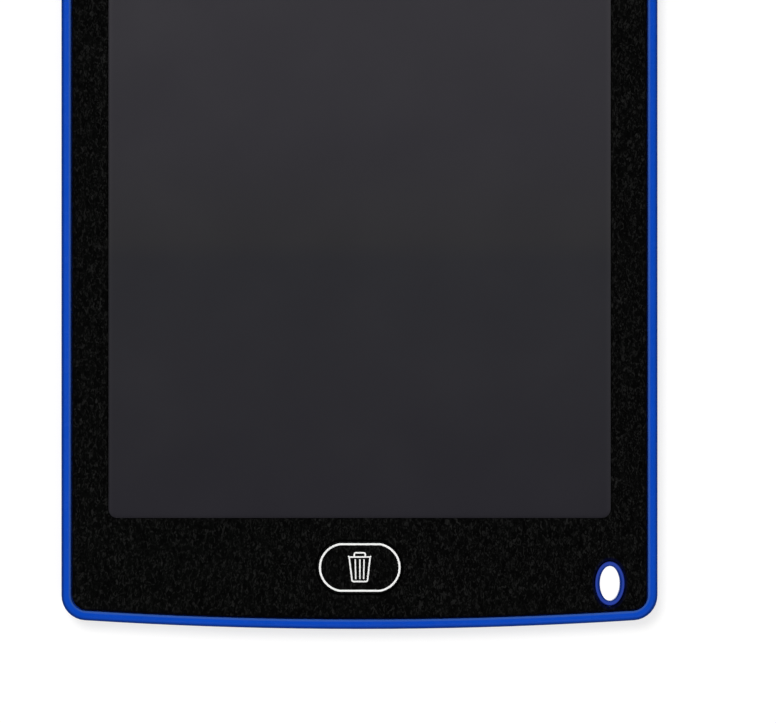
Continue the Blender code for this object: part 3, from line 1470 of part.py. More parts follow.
def build_film_tail():
    """The flat lead from the film's lower edge into its socket on the board."""
    x = span_place(CONNECTOR_PLACE_SHARE)
    connector_back = BOARD_TOP - LAYER_GAP
    connector_y = connector_back - CONNECTOR_DEPTH / 2
    slot_z = PARTS_LOW + CONNECTOR_HEIGHT / 2
    size = (TAIL_WIDTH + 2 * GAP + 2 * CONNECTOR_WALL, CONNECTOR_DEPTH, CONNECTOR_HEIGHT)
    connector = block("tail_connector", size, PARTS_LOW, (x, connector_y))
    slot_size = (TAIL_WIDTH + 2 * GAP, CONNECTOR_DEPTH, TAIL_THICKNESS + 2 * LAYER_GAP)
    slot_low = slot_z - slot_size[2] / 2
    slot = block("tail_slot", slot_size, slot_low, (x, connector_y + CONNECTOR_WALL))
    cut(connector, slot)
    finish(connector, "connector_ivory")
    film_z = (FILM_LOW + FILM_HIGH) / 2
    entry = connector_back - (CONNECTOR_DEPTH - CONNECTOR_WALL) * TAIL_INSERTION_SHARE
    line = [
        (FILM_BOTTOM - LAYER_GAP, film_z),
        (FILM_BOTTOM - GAP, film_z),
        (connector_back + LAYER_GAP, slot_z),
        (entry, slot_z),
    ]
    tail = bent_strip("film_tail", line, TAIL_THICKNESS, TAIL_WIDTH)
    tail.rotation_euler = (0, 0, math.radians(90))
    tail.location = (x, 0, 0)
    finish(tail, "tail_amber")


def build_stylus():
    """The stylus, turned about its long axis: barrel with two waists, tip and tail cap."""
    half = BAY_HALF_LENGTH - GAP
    barrel_start = -half + STYLUS_TIP_LENGTH
    barrel_end = half - STYLUS_CAP_LENGTH
    tip_base = barrel_start - LAYER_GAP
    cap_base = barrel_end + LAYER_GAP
    place = (0, STYLUS_Y, STYLUS_Z)
    barrel = turned("stylus_barrel", barrel_profile(barrel_start, barrel_end), ROUND_STEPS, place)
    tip = turned("stylus_tip", tip_profile(-half, tip_base), ROUND_STEPS, place)
    cap = turned("stylus_cap", cap_profile(half, cap_base), ROUND_STEPS, place)
    carrier = joint_empty("stylus_axis", place)
    for piece, finish_name in ((barrel, "stylus_blue"), (tip, "tip_black"), (cap, "tip_black")):
        piece.rotation_euler = (0, math.radians(90), 0)
        attach(piece, carrier)
        finish(piece, finish_name)


def barrel_profile(start, end):
    """Down the barrel's outside and back up its bore."""
    radius = STYLUS_RADIUS
    waist = radius - STYLUS_WAIST_DEPTH
    half_waist = JAW_WIDTH / 2 + GAP
    outside = [(radius, end)]
    for jaw_x in reversed(jaw_places()):
        outside += [
            (radius, jaw_x + half_waist + STYLUS_WAIST_BEVEL),
            (waist, jaw_x + half_waist),
            (waist, jaw_x - half_waist),
            (radius, jaw_x - half_waist - STYLUS_WAIST_BEVEL),
        ]
    taper = start + STYLUS_TAPER_LENGTH
    for step in range(CORNER_STEPS + 1):
        share = step / CORNER_STEPS
        swell = math.cos(math.radians(90) * share) ** STYLUS_SWELL_SHARE
        bend = STYLUS_NOSE_RADIUS + (radius - STYLUS_NOSE_RADIUS) * swell
        outside.append((bend, taper - STYLUS_TAPER_LENGTH * share))
    bore = [(STYLUS_BORE_RADIUS, start), (STYLUS_BORE_RADIUS, end), (radius, end)]
    return outside + bore


def tip_profile(end, base):
    """The writing tip: spigot in the bore, shoulder, slim cone and round point."""
    spigot = STYLUS_BORE_RADIUS - LAYER_GAP
    shoulder = STYLUS_NOSE_RADIUS - STYLUS_TIP_SHOULDER
    point = STYLUS_TIP_END_RADIUS
    profile = [(0, base + STYLUS_SPIGOT_LENGTH), (spigot, base + STYLUS_SPIGOT_LENGTH)]
    profile += [(spigot, base), (shoulder, base)]
    profile += [
        (point * math.cos(angle), end + point - point * math.sin(angle))
        for angle in quarter_angles()[:-1]
    ]
    profile += [(0, end)]
    return profile


def cap_profile(end, base):
    """The tail cap: rounded end, and a spigot in the barrel's bore."""
    spigot = STYLUS_BORE_RADIUS - LAYER_GAP
    profile = [(0, end)]
    profile += edge_round(STYLUS_RADIUS, end, STYLUS_EDGE_ROUND)
    profile += [(STYLUS_RADIUS, base), (spigot, base)]
    profile += [(spigot, base - STYLUS_SPIGOT_LENGTH), (0, base - STYLUS_SPIGOT_LENGTH)]
    return profile


def main():
    clear_scene()
    make_collection(PARTS_NAME)
    make_collection(CUTTERS_NAME)
    build_back_shell()
    build_front_panel()
    build_screen_layers()
    build_erase_button()
    build_push_switch()
    build_circuit_board()
    build_board_screws()
    build_driver_chip()
    build_inductor()
    build_small_parts()
    build_lock()
    build_coin_cell()
    build_contacts()
    build_leads()
    build_battery_door()
    build_film_tail()
    build_stylus()


main()
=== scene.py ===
"""Looks of the LCD writing tablet: finishes, printed marks, casings, floor, light and camera."""

import math

import bmesh
import bpy
import numpy as np
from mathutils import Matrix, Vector


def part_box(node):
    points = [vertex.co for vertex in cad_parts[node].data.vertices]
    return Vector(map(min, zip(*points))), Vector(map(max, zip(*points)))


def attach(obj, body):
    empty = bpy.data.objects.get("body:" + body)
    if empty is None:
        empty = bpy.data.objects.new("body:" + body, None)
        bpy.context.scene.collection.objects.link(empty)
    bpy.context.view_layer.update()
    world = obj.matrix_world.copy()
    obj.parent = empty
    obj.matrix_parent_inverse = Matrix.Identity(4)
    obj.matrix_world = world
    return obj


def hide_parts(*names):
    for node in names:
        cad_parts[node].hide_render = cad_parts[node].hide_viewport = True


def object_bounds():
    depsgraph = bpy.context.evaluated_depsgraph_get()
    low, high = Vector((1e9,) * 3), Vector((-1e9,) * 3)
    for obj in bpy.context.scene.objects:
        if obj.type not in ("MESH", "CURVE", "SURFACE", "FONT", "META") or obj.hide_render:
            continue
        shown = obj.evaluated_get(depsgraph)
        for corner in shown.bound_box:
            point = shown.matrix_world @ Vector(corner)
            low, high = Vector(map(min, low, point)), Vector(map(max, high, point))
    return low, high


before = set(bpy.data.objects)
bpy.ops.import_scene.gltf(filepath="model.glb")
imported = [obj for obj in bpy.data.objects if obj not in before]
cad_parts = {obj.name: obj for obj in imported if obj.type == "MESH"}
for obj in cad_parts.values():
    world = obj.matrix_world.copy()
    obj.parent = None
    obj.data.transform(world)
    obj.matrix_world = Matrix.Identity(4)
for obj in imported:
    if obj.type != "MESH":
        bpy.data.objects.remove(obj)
CAD_LOW, CAD_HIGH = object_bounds()

# Unit in which the corner points of the symbols are written
MM = 0.001

# View of the photograph: straight down on the lower part of the tablet
AIM_X = 0.00694
AIM_Y = -0.04742
VIEW_WIDTH = 0.18867
LENS = 400.0
SENSOR = 36.0
CLIP_NEAR = 0.05
CLIP_FAR = 200.0

# Lamps, by azimuth anticlockwise from +X and by elevation, in degrees
KEY_AZIMUTH = 122.0
KEY_STRENGTH = 1.85
KEY_ANGLE = 28.0
KEY_COLOUR = (1.0, 0.99, 0.98)
FILL_AZIMUTH = -62.0
FILL_STRENGTH = 0.30
FILL_ANGLE = 34.0
FILL_COLOUR = (0.98, 0.99, 1.0)
LAMP_ELEVATION = 62.0

# Brightness of the studio, from a level direction at 0 to straight up at 1
HORIZON = 1.0
WALL_LOW = 0.16
WALL_HIGH = 0.55
CEILING = 0.03
STUDIO = [
    (0.0, HORIZON),
    (0.012, HORIZON),
    (0.04, WALL_LOW),
    (0.36, WALL_LOW),
    (0.56, WALL_HIGH),
    (0.82, WALL_HIGH),
    (0.93, CEILING),
]

# Floor
FLOOR_REACH = 60.0
FLOOR_DROP = 0.00005
FLOOR_WHITE = 0.9
FLOOR_BOUNCE = 0.45
FLOOR_GLOW = 1.205
FLOOR_GLOW_SHARE = 0.58
FLOOR_GLOW_COLOUR = (1.0, 0.997, 0.985)
HOLE_GLOW_SHARE = 0.84
HOLE_GLOW_NEAR = 0.0045
HOLE_GLOW_FAR = 0.0075

# Outline of the tablet and its lanyard hole, as in the CAD model
HALF_WIDTH, HALF_LENGTH, THICKNESS = CAD_HIGH.x, CAD_HIGH.y, CAD_HIGH.z
OUTLINE_CORNER = 0.0061
OUTLINE_BOW = 0.0025
HOLE_X, HOLE_Y = 0.0609, -0.1014
RING_HALF_WIDTH = 0.00357
RING_HALF_LENGTH = 0.00537
RING_HEIGHT = 1000.0
WINDOW_HALF_WIDTH = 0.0611
PANEL_INSET = 0.0026

# Detail and roughness of each kind of noise
FINE = (2.0, 0.5)
SOFT = (3.0, 0.5)
CLOUDY = (3.0, 0.55)
GRAINY = (3.0, 0.6)
SPECKLED = (3.0, 0.65)
PATCHY = (4.0, 0.6)
BRUSHED = (4.0, 0.65)
FIBROUS = (4.0, 0.7)

# Range that most values of noise fall in, and the part of it that shows as grain
NOISE_LOW, NOISE_HIGH = 0.3, 0.7
GRAIN_LOW, GRAIN_HIGH = 0.35, 0.75

BLUE = (0.0010, 0.0630, 0.5150)
BLACK = (0.0040, 0.0040, 0.0042)
TINNED = (0.6, 0.6, 0.6)

# Moulded plastic: its clouds, gloss patches and worn edges in grains, its spread of gloss, and the
# gain and lift of its pale edges
CLOUD_GRAINS = 60
GLOSS_GRAINS = 14
WEAR_GRAINS = 1.2
MOULDED_GLOSS = (-0.05, 0.07)
EDGE_PALE = (1.5, 0.01)

# Grain, clouds, polish and worn back edge of the blue shell
SHELL_ROUGHNESS = 0.26
SHELL_SPECULAR = 0.11
SHELL_CLOUD = 0.017
SHELL_CLOUD_TINT = 0.04
SHELL_GRAIN = 0.00028
SHELL_GRAIN_SHARE = 0.05
SHELL_GRAIN_TINT = 1.15
SHELL_RELIEF = 0.000004
SHELL_GLOSS_PATCH = 0.004
SHELL_GLOSS = (-0.04, 0.05)
WORN_BLUE = (0.014, 0.105, 0.62)
WORN_RADIUS = 0.0003
WORN_SHARE = 0.3
WORN_START, WORN_FULL = 0.003, 0.0005
BACK_EDGE_START, BACK_EDGE_FULL = 0.0012, 0.0002
BACK_EDGE_MATT = 0.22

# Depths below the rim's top at which the tones of the walls and of the top face begin, and the
# painted shade that keeps the walls a deeper blue
WALL_FULL, WALL_END = 0.0013, 0.0008
TOP_START, TOP_FULL = 0.0014, 0.0007
WALL_SHADE_TONE = (0.90, 0.92, 0.90)

# Matt shoulder between wall and top
SHOULDER_NEAR, SHOULDER_FAR = 0.0001, 0.0006
SHOULDER_MATT = 0.25
SHOULDER_SPECULAR = SHELL_SPECULAR / 5

# Fine line that the mould leaves on the walls
SEAM_HEIGHT = 0.0030
SEAM_NEAR, SEAM_FAR = 0.00002, 0.00007
SEAM_REACH = 0.0001
SEAM_RELIEF = 0.00003
SEAM_STRENGTH = 0.6

# Painted shade on the rim's rounded outer edge: tones by the distance in from its outer edge, as
# shares of the blue
RIM_EDGE_SHADE_REACH = 0.0012
RIM_EDGE_SHADE_TONES = [
    (0.0, (0.70, 0.74, 0.68)),
    (0.08, (0.50, 0.54, 0.50)),
    (0.25, (0.56, 0.60, 0.58)),
    (0.45, (0.85, 0.86, 0.86)),
    (0.75, (0.98, 0.98, 0.99)),
    (1.0, (1.0, 1.0, 1.0)),
]

# Painted shade: a deeper outer line of the left rim, by the distance in from that side
LEFT_SHADE = 0.72
LEFT_SHADE_START, LEFT_SHADE_END = 0.00030, 0.00085

# Painted highlight: a pale band inside the rim, which ends below the panel's top edge
RIM_PAINTED_HIGHLIGHT = (0.034, 0.105, 0.43)
RIM_PAINTED_HIGHLIGHT_START, RIM_PAINTED_HIGHLIGHT_FULL = 0.00170, 0.00200
RIM_PAINTED_HIGHLIGHT_END, RIM_PAINTED_HIGHLIGHT_GONE = 0.00236, 0.00250
RIM_PAINTED_HIGHLIGHT_SHARE = 0.95
RIM_PAINTED_HIGHLIGHT_BELOW, RIM_PAINTED_HIGHLIGHT_ABOVE = 0.0045, 0.0005

# Painted shade on the eyelet: its tones from its hole out to its outer edge, which is at 1
RING_PAINTED_SHADE_START, RING_PAINTED_SHADE_END = 0.6, 1.1
RING_EDGE_START, RING_EDGE_END = 1.03, 1.08
RING_PAINTED_SHADE_TONES = [
    (0.15, (0.002, 0.024, 0.19)),
    (0.40, (0.002, 0.021, 0.20)),
    (0.52, (0.020, 0.056, 0.35)),
    (0.70, (0.026, 0.056, 0.39)),
    (0.80, (0.002, 0.010, 0.10)),
]

# Black panel: wandering flecks on a darker ground, with painted shade tinted blue beside the rim
# and painted blue light beside the eyelet
PANEL_ROUGHNESS = 0.55
PANEL_SPECULAR = 0.015
PANEL_STRETCH = (1.0, 0.50, 1.0)
PANEL_BEND = 0.0017
PANEL_BEND_WANDER = 1.2
PANEL_BEND_RANGE = (0.40, 0.62)
PANEL_GROUND = ((0.0001, 0.0001, 0.0001), (0.0012, 0.0013, 0.0012))
FLECK_SIZE = 0.00064
FLECK_WANDER = 1.3
FLECK_RANGE = (0.51, 0.68)
FLECK_TONE = (0.0140, 0.0142, 0.0138)
FLECK_START, FLECK_FULL = 0.0008, 0.0004
FLECK_GLOSS = (0.42, 0.6)
FLECK_RELIEF = 0.00003
RIM_SHADE = (0.0, 0.0002, 0.0020)
RIM_SHADE_SHARE = 0.75
RIM_SHADE_NEAR, RIM_SHADE_FAR = 0.0001, 0.0007
RING_BLUE_LIGHT = (0.0001, 0.0014, 0.0220)
RING_BLUE_LIGHT_SHARE = 0.8
RING_BLUE_LIGHT_NEAR, RING_BLUE_LIGHT_FAR = 1.07, 1.22

# Where the photograph's rows lie along Y, and the film's grey by row, lightened towards the top by
# a painted reflection
PHOTO_ROW = 628.7
PHOTO_BASE = -0.1125
PHOTO_SCALE = 0.00024358
FILM_GREY_AND_REFLECTION = [
    (518, (0.0215, 0.0205, 0.0262)),
    (460, (0.0222, 0.0215, 0.0265)),
    (360, (0.0245, 0.0240, 0.0288)),
    (262, (0.0252, 0.0252, 0.0298)),
    (240, (0.0288, 0.0282, 0.0312)),
    (140, (0.0325, 0.0312, 0.0372)),
    (0, (0.0378, 0.0362, 0.0425)),
    (-180, (0.0420, 0.0400, 0.0470)),
]

# Polish of the film, the painted light on its sides and its faint mottle
FILM_ROUGHNESS = 0.16
FILM_SPECULAR = 0.30
FILM_PAINTED_SIDE_LIGHT = 0.0016
FILM_PAINTED_SIDE_LIGHT_GAIN = (1.5, 1.5, 1.45)
FILM_MOTTLE = 0.012
FILM_MOTTLE_GAIN = (1.010, 1.010, 1.014)
FILM_GRAIN = 0.0003
FILM_GLOSS_PATCH = 0.02
FILM_GLOSS = (0.13, 0.19)
FILM_RELIEF = 0.000002

# Metal: stains, rubbed edges and brushed or turned lines
STAIN_LINES = 18
STAIN_SHADE = 0.82
RUBBED_RADIUS = 0.00012
RUBBED_SHARE = 0.5
RUBBED_GAIN = 1.15
METAL_LINES = (0.2, 0.8)
METAL_GLOSS = (-0.08, 0.12)
METAL_RELIEF = 0.000004
TURNED_WANDER = 1.5
TURNED_DETAIL = (3.0, 2.0)

# Tape: fibres, bubbles and cut edges
TAPE_ROUGHNESS = 0.7
TAPE_SPECULAR = 0.3
TAPE_GLOSS = (0.6, 0.8)
TAPE_RELIEF = 0.00001
TAPE_FIBRE = 0.0002
TAPE_STRETCH = (1, 6, 1)
TAPE_BUBBLE = 0.003
TAPE_TONES = ((0.52, 0.52, 0.49), (0.68, 0.68, 0.65))
BUBBLE_TONE = (0.45, 0.45, 0.43)
BUBBLE_REACH = 0.25
BUBBLE_SHARE = 0.35
CUT_START, CUT_FULL = 0.6, 0.4
INK_TONE = (0.004, 0.004, 0.004)

# Circuit board: solder mask, slanting tracks and round pads
BOARD_ROUGHNESS = 0.35
TRACK_GREYS = {"Color1": 0.0, "Color2": 0.15, "Mortar": 1.0}
TRACK_SCALE = 260.0
TRACK_WIDTH = 0.06
TRACK_TURN = math.radians(45)
PAD_SPACING = 0.0032
PAD_RANGE = (0.12, 0.1)
PAD_TONE = (0.55, 0.53, 0.48)
MASK_CLOUD = 0.004
MASK_TONES = ((0.006, 0.085, 0.03), (0.012, 0.13, 0.05))
MASK_GLOSS = (0.28, 0.45)
TRACK_TONE = (0.03, 0.22, 0.09)
TRACK_SHARE = 0.55
TRACK_RELIEF = 0.00002

# Film tail: amber film over copper lines
TAIL_ROUGHNESS = 0.3
TAIL_GLOSS = (0.22, 0.38)
COPPER_SCALE = 320.0
AMBER_CLOUD = 0.002
AMBER_TONES = ((0.36, 0.15, 0.02), (0.5, 0.25, 0.05))
COPPER_TONE = (0.52, 0.33, 0.14)
COPPER_RANGE = (0.45, 0.55)
COPPER_RELIEF = 0.00001

# Chip parts: where their tinned ends begin, as shares of their length, and their speckle
CHIP_ROUGHNESS = 0.45
CHIP_GLOSS = (0.3, 0.55)
CHIP_DARK, CHIP_PALE = 0.85, 1.1
END_START, END_FULL = 0.29, 0.31
CHIP_SPECK = 0.00015
CHIP_RELIEF = 0.000006
CERAMIC = (0.42, 0.27, 0.14)

# White print
INK_ROUGHNESS = 0.5
INK_SPECULAR = 0.3
INK_GLOSS = (0.42, 0.6)
INK_SPECK = 0.00022
INK_TONES = ((0.93, 0.93, 0.92), (1.0, 1.0, 1.0))
INK_RELIEF = 0.000005

# Steel of the coin cell, and how far apart its fine rings lie
CELL_STEEL = (0.60, 0.60, 0.60)
CELL_ROUGHNESS = 0.28
CELL_RINGS = 0.0003

# Merging and smoothing of the moulded casings
MERGE = 0.000004
SMOOTH = math.radians(34.0)
CREASE = math.radians(60.0)
EVEN_WEIGHT = 100

# Lengths of the printed marks on the erase button
PRINT_HEIGHT = 0.00004
PRINT_SINK = 0.00002
PRINT_SHIFT = 0.00008
OUTLINE_LENGTH = 0.01936
OUTLINE_WIDTH = 0.01132
OUTLINE_STRAIGHT = 0.0097
OUTLINE_LINE = 0.0005
BIN_LINE = 0.00038
RIB_LINE = 0.00033

# The bin's handle, lid and body, each with its corner radii, and its ribs' upper and lower ends,
# in millimetres from the button's middle
BIN_FORMS = [
    ([(-1.36, 2.58), (-1.30, 3.58), (1.30, 3.58), (1.36, 2.58)], (0.40, 0.40)),
    ([(-2.86, 2.76), (-2.52, 2.55), (2.44, 2.55), (2.77, 2.76)], (0.15, 0.15)),
    ([(-2.59, 2.60), (-1.85, -3.40), (1.84, -3.40), (2.53, 2.60)], (0.40, 0.40)),
]
BIN_RIBS = ((-1.12, -0.97), (0.03, 0.03), (1.04, 0.94))
RIB_TOP, RIB_FOOT = 1.99, -2.82

# Padlocks beside the lock's knob: case and shackles in millimetres, with their corner radii
LOCK_TRAVEL = 0.0025
LOCK_RECESS = 0.00035
LOCK_LINE = 0.00014
LOCK_SYMBOL_REACH = 0.00495
LOCK_CASE = [(0.0, -0.62), (0.36, -0.62), (0.36, 0.0), (-0.36, 0.0), (-0.36, -0.62), (0.0, -0.62)]
CASE_RADII = (0.12,) * 4
SHACKLES = {
    "open": [(-0.26, 0.06), (-0.26, 0.62), (0.18, 0.62), (0.18, 0.34)],
    "closed": [(-0.24, 0.06), (-0.24, 0.50), (0.24, 0.50), (0.24, 0.06)],
}
SHACKLE_RADII = (0.20, 0.20)

# The coin cell's plus
MARK_LINE = 0.00032
MARK_HALF = 0.0012
MARK_RISE = 0.0052
MARK_STEPS = 12

# The door screw's thread
SCREW_SHAFT = 0.0007
THREAD_LOW = 0.0020
THREAD_HIGH = 0.0032
THREAD_PITCH = 0.0003
THREAD_DEPTH = 0.00014
THREAD_SINK = 0.00003
THREAD_HALF_SHARE = 0.36
THREAD_END_SHARE = 0.04
THREAD_END_TURNS = 0.5
THREAD_STEPS = 36


def set_camera():
    """A long lens straight above the photograph's middle, with +Y up in the picture."""
    data = bpy.data.cameras.new("camera")
    data.lens = LENS
    data.sensor_width = SENSOR
    data.clip_start = CLIP_NEAR
    data.clip_end = CLIP_FAR
    camera = bpy.data.objects.new("camera", data)
    bpy.context.scene.collection.objects.link(camera)
    distance = VIEW_WIDTH * LENS / SENSOR
    camera.location = (AIM_X, AIM_Y, CAD_HIGH.z + distance)
    camera.rotation_euler = (0.0, 0.0, 0.0)
    bpy.context.scene.camera = camera


def add_lamp(name, azimuth, strength, angle, colour):
    """A soft distant lamp that stands at an azimuth, anticlockwise from +X, in degrees."""
    data = bpy.data.lights.new(name, "SUN")
    data.energy = strength
    data.angle = math.radians(angle)
    data.color = colour
    lamp = bpy.data.objects.new(name, data)
    bpy.context.scene.collection.objects.link(lamp)
    a, e = math.radians(azimuth), math.radians(LAMP_ELEVATION)
    away = Vector((math.cos(a) * math.cos(e), math.sin(a) * math.cos(e), math.sin(e)))
    lamp.location = away
    lamp.rotation_euler = away.to_track_quat("Z", "Y").to_euler()


def fill_ramp(ramp, stops):
    """Put the stops, each a place and a colour, into a colour ramp."""
    elements = ramp.color_ramp.elements
    while len(elements) < len(stops):
        elements.new(0.5)
    for element, (at, colour) in zip(elements, stops):
        element.position = at
        element.color = (*colour, 1.0)


def set_world():
    """A studio with a white horizon, pale walls and a dark ceiling, by how high a ray points."""
    world = bpy.data.worlds.new("studio")
    bpy.context.scene.world = world
    world.use_nodes = True
    tree = world.node_tree
    background = tree.nodes["Background"]
    where = tree.nodes.new("ShaderNodeTexCoord")
    split = tree.nodes.new("ShaderNodeSeparateXYZ")
    ramp = tree.nodes.new("ShaderNodeValToRGB")
    fill_ramp(ramp, [(at, (value,) * 3) for at, value in STUDIO])
    tree.links.new(where.outputs["Generated"], split.inputs[0])
    tree.links.new(split.outputs["Z"], ramp.inputs["Fac"])
    tree.links.new(ramp.outputs["Color"], background.inputs["Color"])
    background.inputs["Strength"].default_value = 1.0


def math_node(tree, operation, first, second=0.0):
    """One step of arithmetic on sockets or numbers."""
    node = tree.nodes.new("ShaderNodeMath")
    node.operation = operation
    for socket, value in zip(node.inputs, (first, second)):
        if isinstance(value, (int, float)):
            socket.default_value = value
        else:
            tree.links.new(value, socket)
    return node.outputs[0]


def hole_share(tree):
    """The share of the floor's glow, which rises near the middle of the lanyard hole."""
    place = tree.nodes.new("ShaderNodeTexCoord").outputs["Object"]
    away = tree.nodes.new("ShaderNodeVectorMath")
    away.operation = "DISTANCE"
    away.inputs[1].default_value = (HOLE_X, HOLE_Y, 0.0)
    tree.links.new(place, away.inputs[0])
    share = tree.nodes.new("ShaderNodeMapRange")
    share.interpolation_type = "SMOOTHSTEP"
    values = (HOLE_GLOW_NEAR, HOLE_GLOW_FAR, HOLE_GLOW_SHARE, FLOOR_GLOW_SHARE)
    for socket, value in zip(share.inputs[1:5], values):
        socket.default_value = value
    tree.links.new(away.outputs["Value"], share.inputs[0])
    return share.outputs[0]


def floor_finish():
    """A plain pale grey to soft light, and a glowing white to the camera, mirrors and glass."""
    made = bpy.data.materials.new("floor_white")
    made.use_nodes = True
    tree = made.node_tree
    tree.nodes.clear()
    out = tree.nodes.new("ShaderNodeOutputMaterial")
    mix = tree.nodes.new("ShaderNodeMixShader")
    choice = tree.nodes.new("ShaderNodeMixShader")
    pale = tree.nodes.new("ShaderNodeBsdfDiffuse")
    matt = tree.nodes.new("ShaderNodeBsdfDiffuse")
    glow = tree.nodes.new("ShaderNodeEmission")
    path = tree.nodes.new("ShaderNodeLightPath")
    pale.inputs["Color"].default_value = (FLOOR_WHITE, FLOOR_WHITE, FLOOR_WHITE, 1.0)
    matt.inputs["Color"].default_value = (FLOOR_BOUNCE, FLOOR_BOUNCE, FLOOR_BOUNCE, 1.0)
    glow.inputs["Color"].default_value = (*FLOOR_GLOW_COLOUR, 1.0)
    glow.inputs["Strength"].default_value = FLOOR_GLOW
    tree.links.new(hole_share(tree), mix.inputs["Fac"])
    first = math_node(tree, "MAXIMUM", path.outputs["Is Camera Ray"], path.outputs["Is Glossy Ray"])
    seen = math_node(tree, "MAXIMUM", first, path.outputs["Is Transmission Ray"])
    tree.links.new(pale.outputs[0], mix.inputs[1])
    tree.links.new(glow.outputs[0], mix.inputs[2])
    tree.links.new(seen, choice.inputs["Fac"])
    tree.links.new(matt.outputs[0], choice.inputs[1])
    tree.links.new(mix.outputs[0], choice.inputs[2])
    tree.links.new(choice.outputs[0], out.inputs["Surface"])
    return made


def set_floor():
    """A large floor just under the tablet's back.

    Under the lanyard hole it glows more, so that the hole shows white as in the photograph.
    """
    reach = FLOOR_REACH
    mesh = bpy.data.meshes.new("floor")
    corners = [(-reach, -reach, -FLOOR_DROP), (reach, -reach, -FLOOR_DROP)]
    corners += [(reach, reach, -FLOOR_DROP), (-reach, reach, -FLOOR_DROP)]
    mesh.from_pydata(corners, [], [(0, 1, 2, 3)])
    floor = bpy.data.objects.new("floor", mesh)
    bpy.context.scene.collection.objects.link(floor)
    mesh.materials.append(floor_finish())


class Finish:
    """A procedural finish on Object coordinates: colour, roughness and relief from noise."""

    def __init__(self, name, roughness, metallic=0.0, specular=0.5):
        self.material = bpy.data.materials.new("finish_" + name)
        self.material.use_nodes = True
        self.tree = self.material.node_tree
        self.shader = self.tree.nodes["Principled BSDF"]
        self.shader.inputs["Roughness"].default_value = roughness
        self.shader.inputs["Metallic"].default_value = metallic
        self.shader.inputs["Specular IOR Level"].default_value = specular
        self.place = self.tree.nodes.new("ShaderNodeTexCoord").outputs["Object"]

    def link(self, output, target):
        self.tree.links.new(output, target)

    def math(self, operation, first, second=0.0):
        return math_node(self.tree, operation, first, second)

    def times(self, first, second):
        return math_node(self.tree, "MULTIPLY", first, second)

    def mapped(self, scale=(1, 1, 1), turn=(0, 0, 0), move=(0, 0, 0)):
        """Object coordinates moved, turned and stretched."""
        node = self.tree.nodes.new("ShaderNodeMapping")
        node.inputs["Location"].default_value = move
        node.inputs["Rotation"].default_value = turn
        node.inputs["Scale"].default_value = scale
        self.link(self.place, node.inputs["Vector"])
        return node.outputs[0]

    def axes(self):
        """The X, Y and Z sockets of Object coordinates."""
        split = self.tree.nodes.new("ShaderNodeSeparateXYZ")
        self.link(self.place, split.inputs[0])
        return split.outputs["X"], split.outputs["Y"], split.outputs["Z"]

    def noise(self, size, kind, distortion=0.0, where=None):
        """Noise of one kind whose features are about the given size in metres."""
        node = self.tree.nodes.new("ShaderNodeTexNoise")
        node.inputs["Scale"].default_value = 1.0 / size
        node.inputs["Detail"].default_value = kind[0]
        node.inputs["Roughness"].default_value = kind[1]
        node.inputs["Distortion"].default_value = distortion
        self.link(where or self.place, node.inputs["Vector"])
        return node.outputs["Fac"]

    def cells(self, size):
        """Distance to the nearest of scattered points about the given size apart."""
        node = self.tree.nodes.new("ShaderNodeTexVoronoi")
        node.feature = "F1"
        node.inputs["Scale"].default_value = 1.0 / size
        self.link(self.place, node.inputs["Vector"])
        return node.outputs["Distance"]

    def ramp(self, factor, stops):
        node = self.tree.nodes.new("ShaderNodeValToRGB")
        fill_ramp(node, stops)
        self.link(factor, node.inputs["Fac"])
        return node.outputs["Color"]

    def levels(self, factor, low, high, out_low=0.0, out_high=1.0):
        """A range of the factor stretched to a new one, and held at its ends."""
        node = self.tree.nodes.new("ShaderNodeMapRange")
        for socket, value in zip(node.inputs[1:5], (low, high, out_low, out_high)):
            socket.default_value = value
        self.link(factor, node.inputs[0])
        return node.outputs[0]

    def spread(self, noise, out_low=0.0, out_high=1.0):
        """The range that noise mostly falls in, stretched to a new one."""
        return self.levels(noise, NOISE_LOW, NOISE_HIGH, out_low, out_high)

    def mix(self, factor, first, second, blend="MIX"):
        """Mix two colours, each a socket or three numbers, by a socket or a number."""
        node = self.tree.nodes.new("ShaderNodeMix")
        node.data_type = "RGBA"
        node.blend_type = blend
        sockets = [s for s in node.inputs if s.enabled]
        for socket, value in zip(sockets, (factor, first, second)):
            if isinstance(value, tuple):
                socket.default_value = (*value, 1.0)
            elif isinstance(value, (int, float)):
                socket.default_value = value
            else:
                self.link(value, socket)
        return [s for s in node.outputs if s.enabled][0]

    def gained(self, colour, gain):
        """A colour socket times three numbers or a socket."""
        return self.mix(1.0, colour, gain, "MULTIPLY")

    def worn_edges(self, radius, low=0.02, high=0.16):
        """Near 1 on sharp outer edges: how far a rounded normal turns from the true one."""
        bevel = self.tree.nodes.new("ShaderNodeBevel")
        bevel.samples = 4
        bevel.inputs["Radius"].default_value = radius
        geometry = self.tree.nodes.new("ShaderNodeNewGeometry")
        dot = self.tree.nodes.new("ShaderNodeVectorMath")
        dot.operation = "DOT_PRODUCT"
        self.link(bevel.outputs[0], dot.inputs[0])
        self.link(geometry.outputs["Normal"], dot.inputs[1])
        return self.levels(dot.outputs["Value"], 1.0 - low, 1.0 - high)

    def bump(self, height, distance, strength=1.0, under=None):
        """Relief of the given depth in metres, over the relief under it."""
        node = self.tree.nodes.new("ShaderNodeBump")
        node.inputs["Strength"].default_value = strength
        node.inputs["Distance"].default_value = distance
        self.link(height, node.inputs["Height"])
        if under is not None:
            self.link(under, node.inputs["Normal"])
        return node.outputs[0]

    def done(self, colour, roughness, normal):
        """Connect what was made to the shader and hand the material over."""
        for name, socket in (("Base Color", colour), ("Roughness", roughness), ("Normal", normal)):
            self.link(socket, self.shader.inputs[name])
        return self.material


def shade(colour, share):
    return tuple(channel * share for channel in colour)


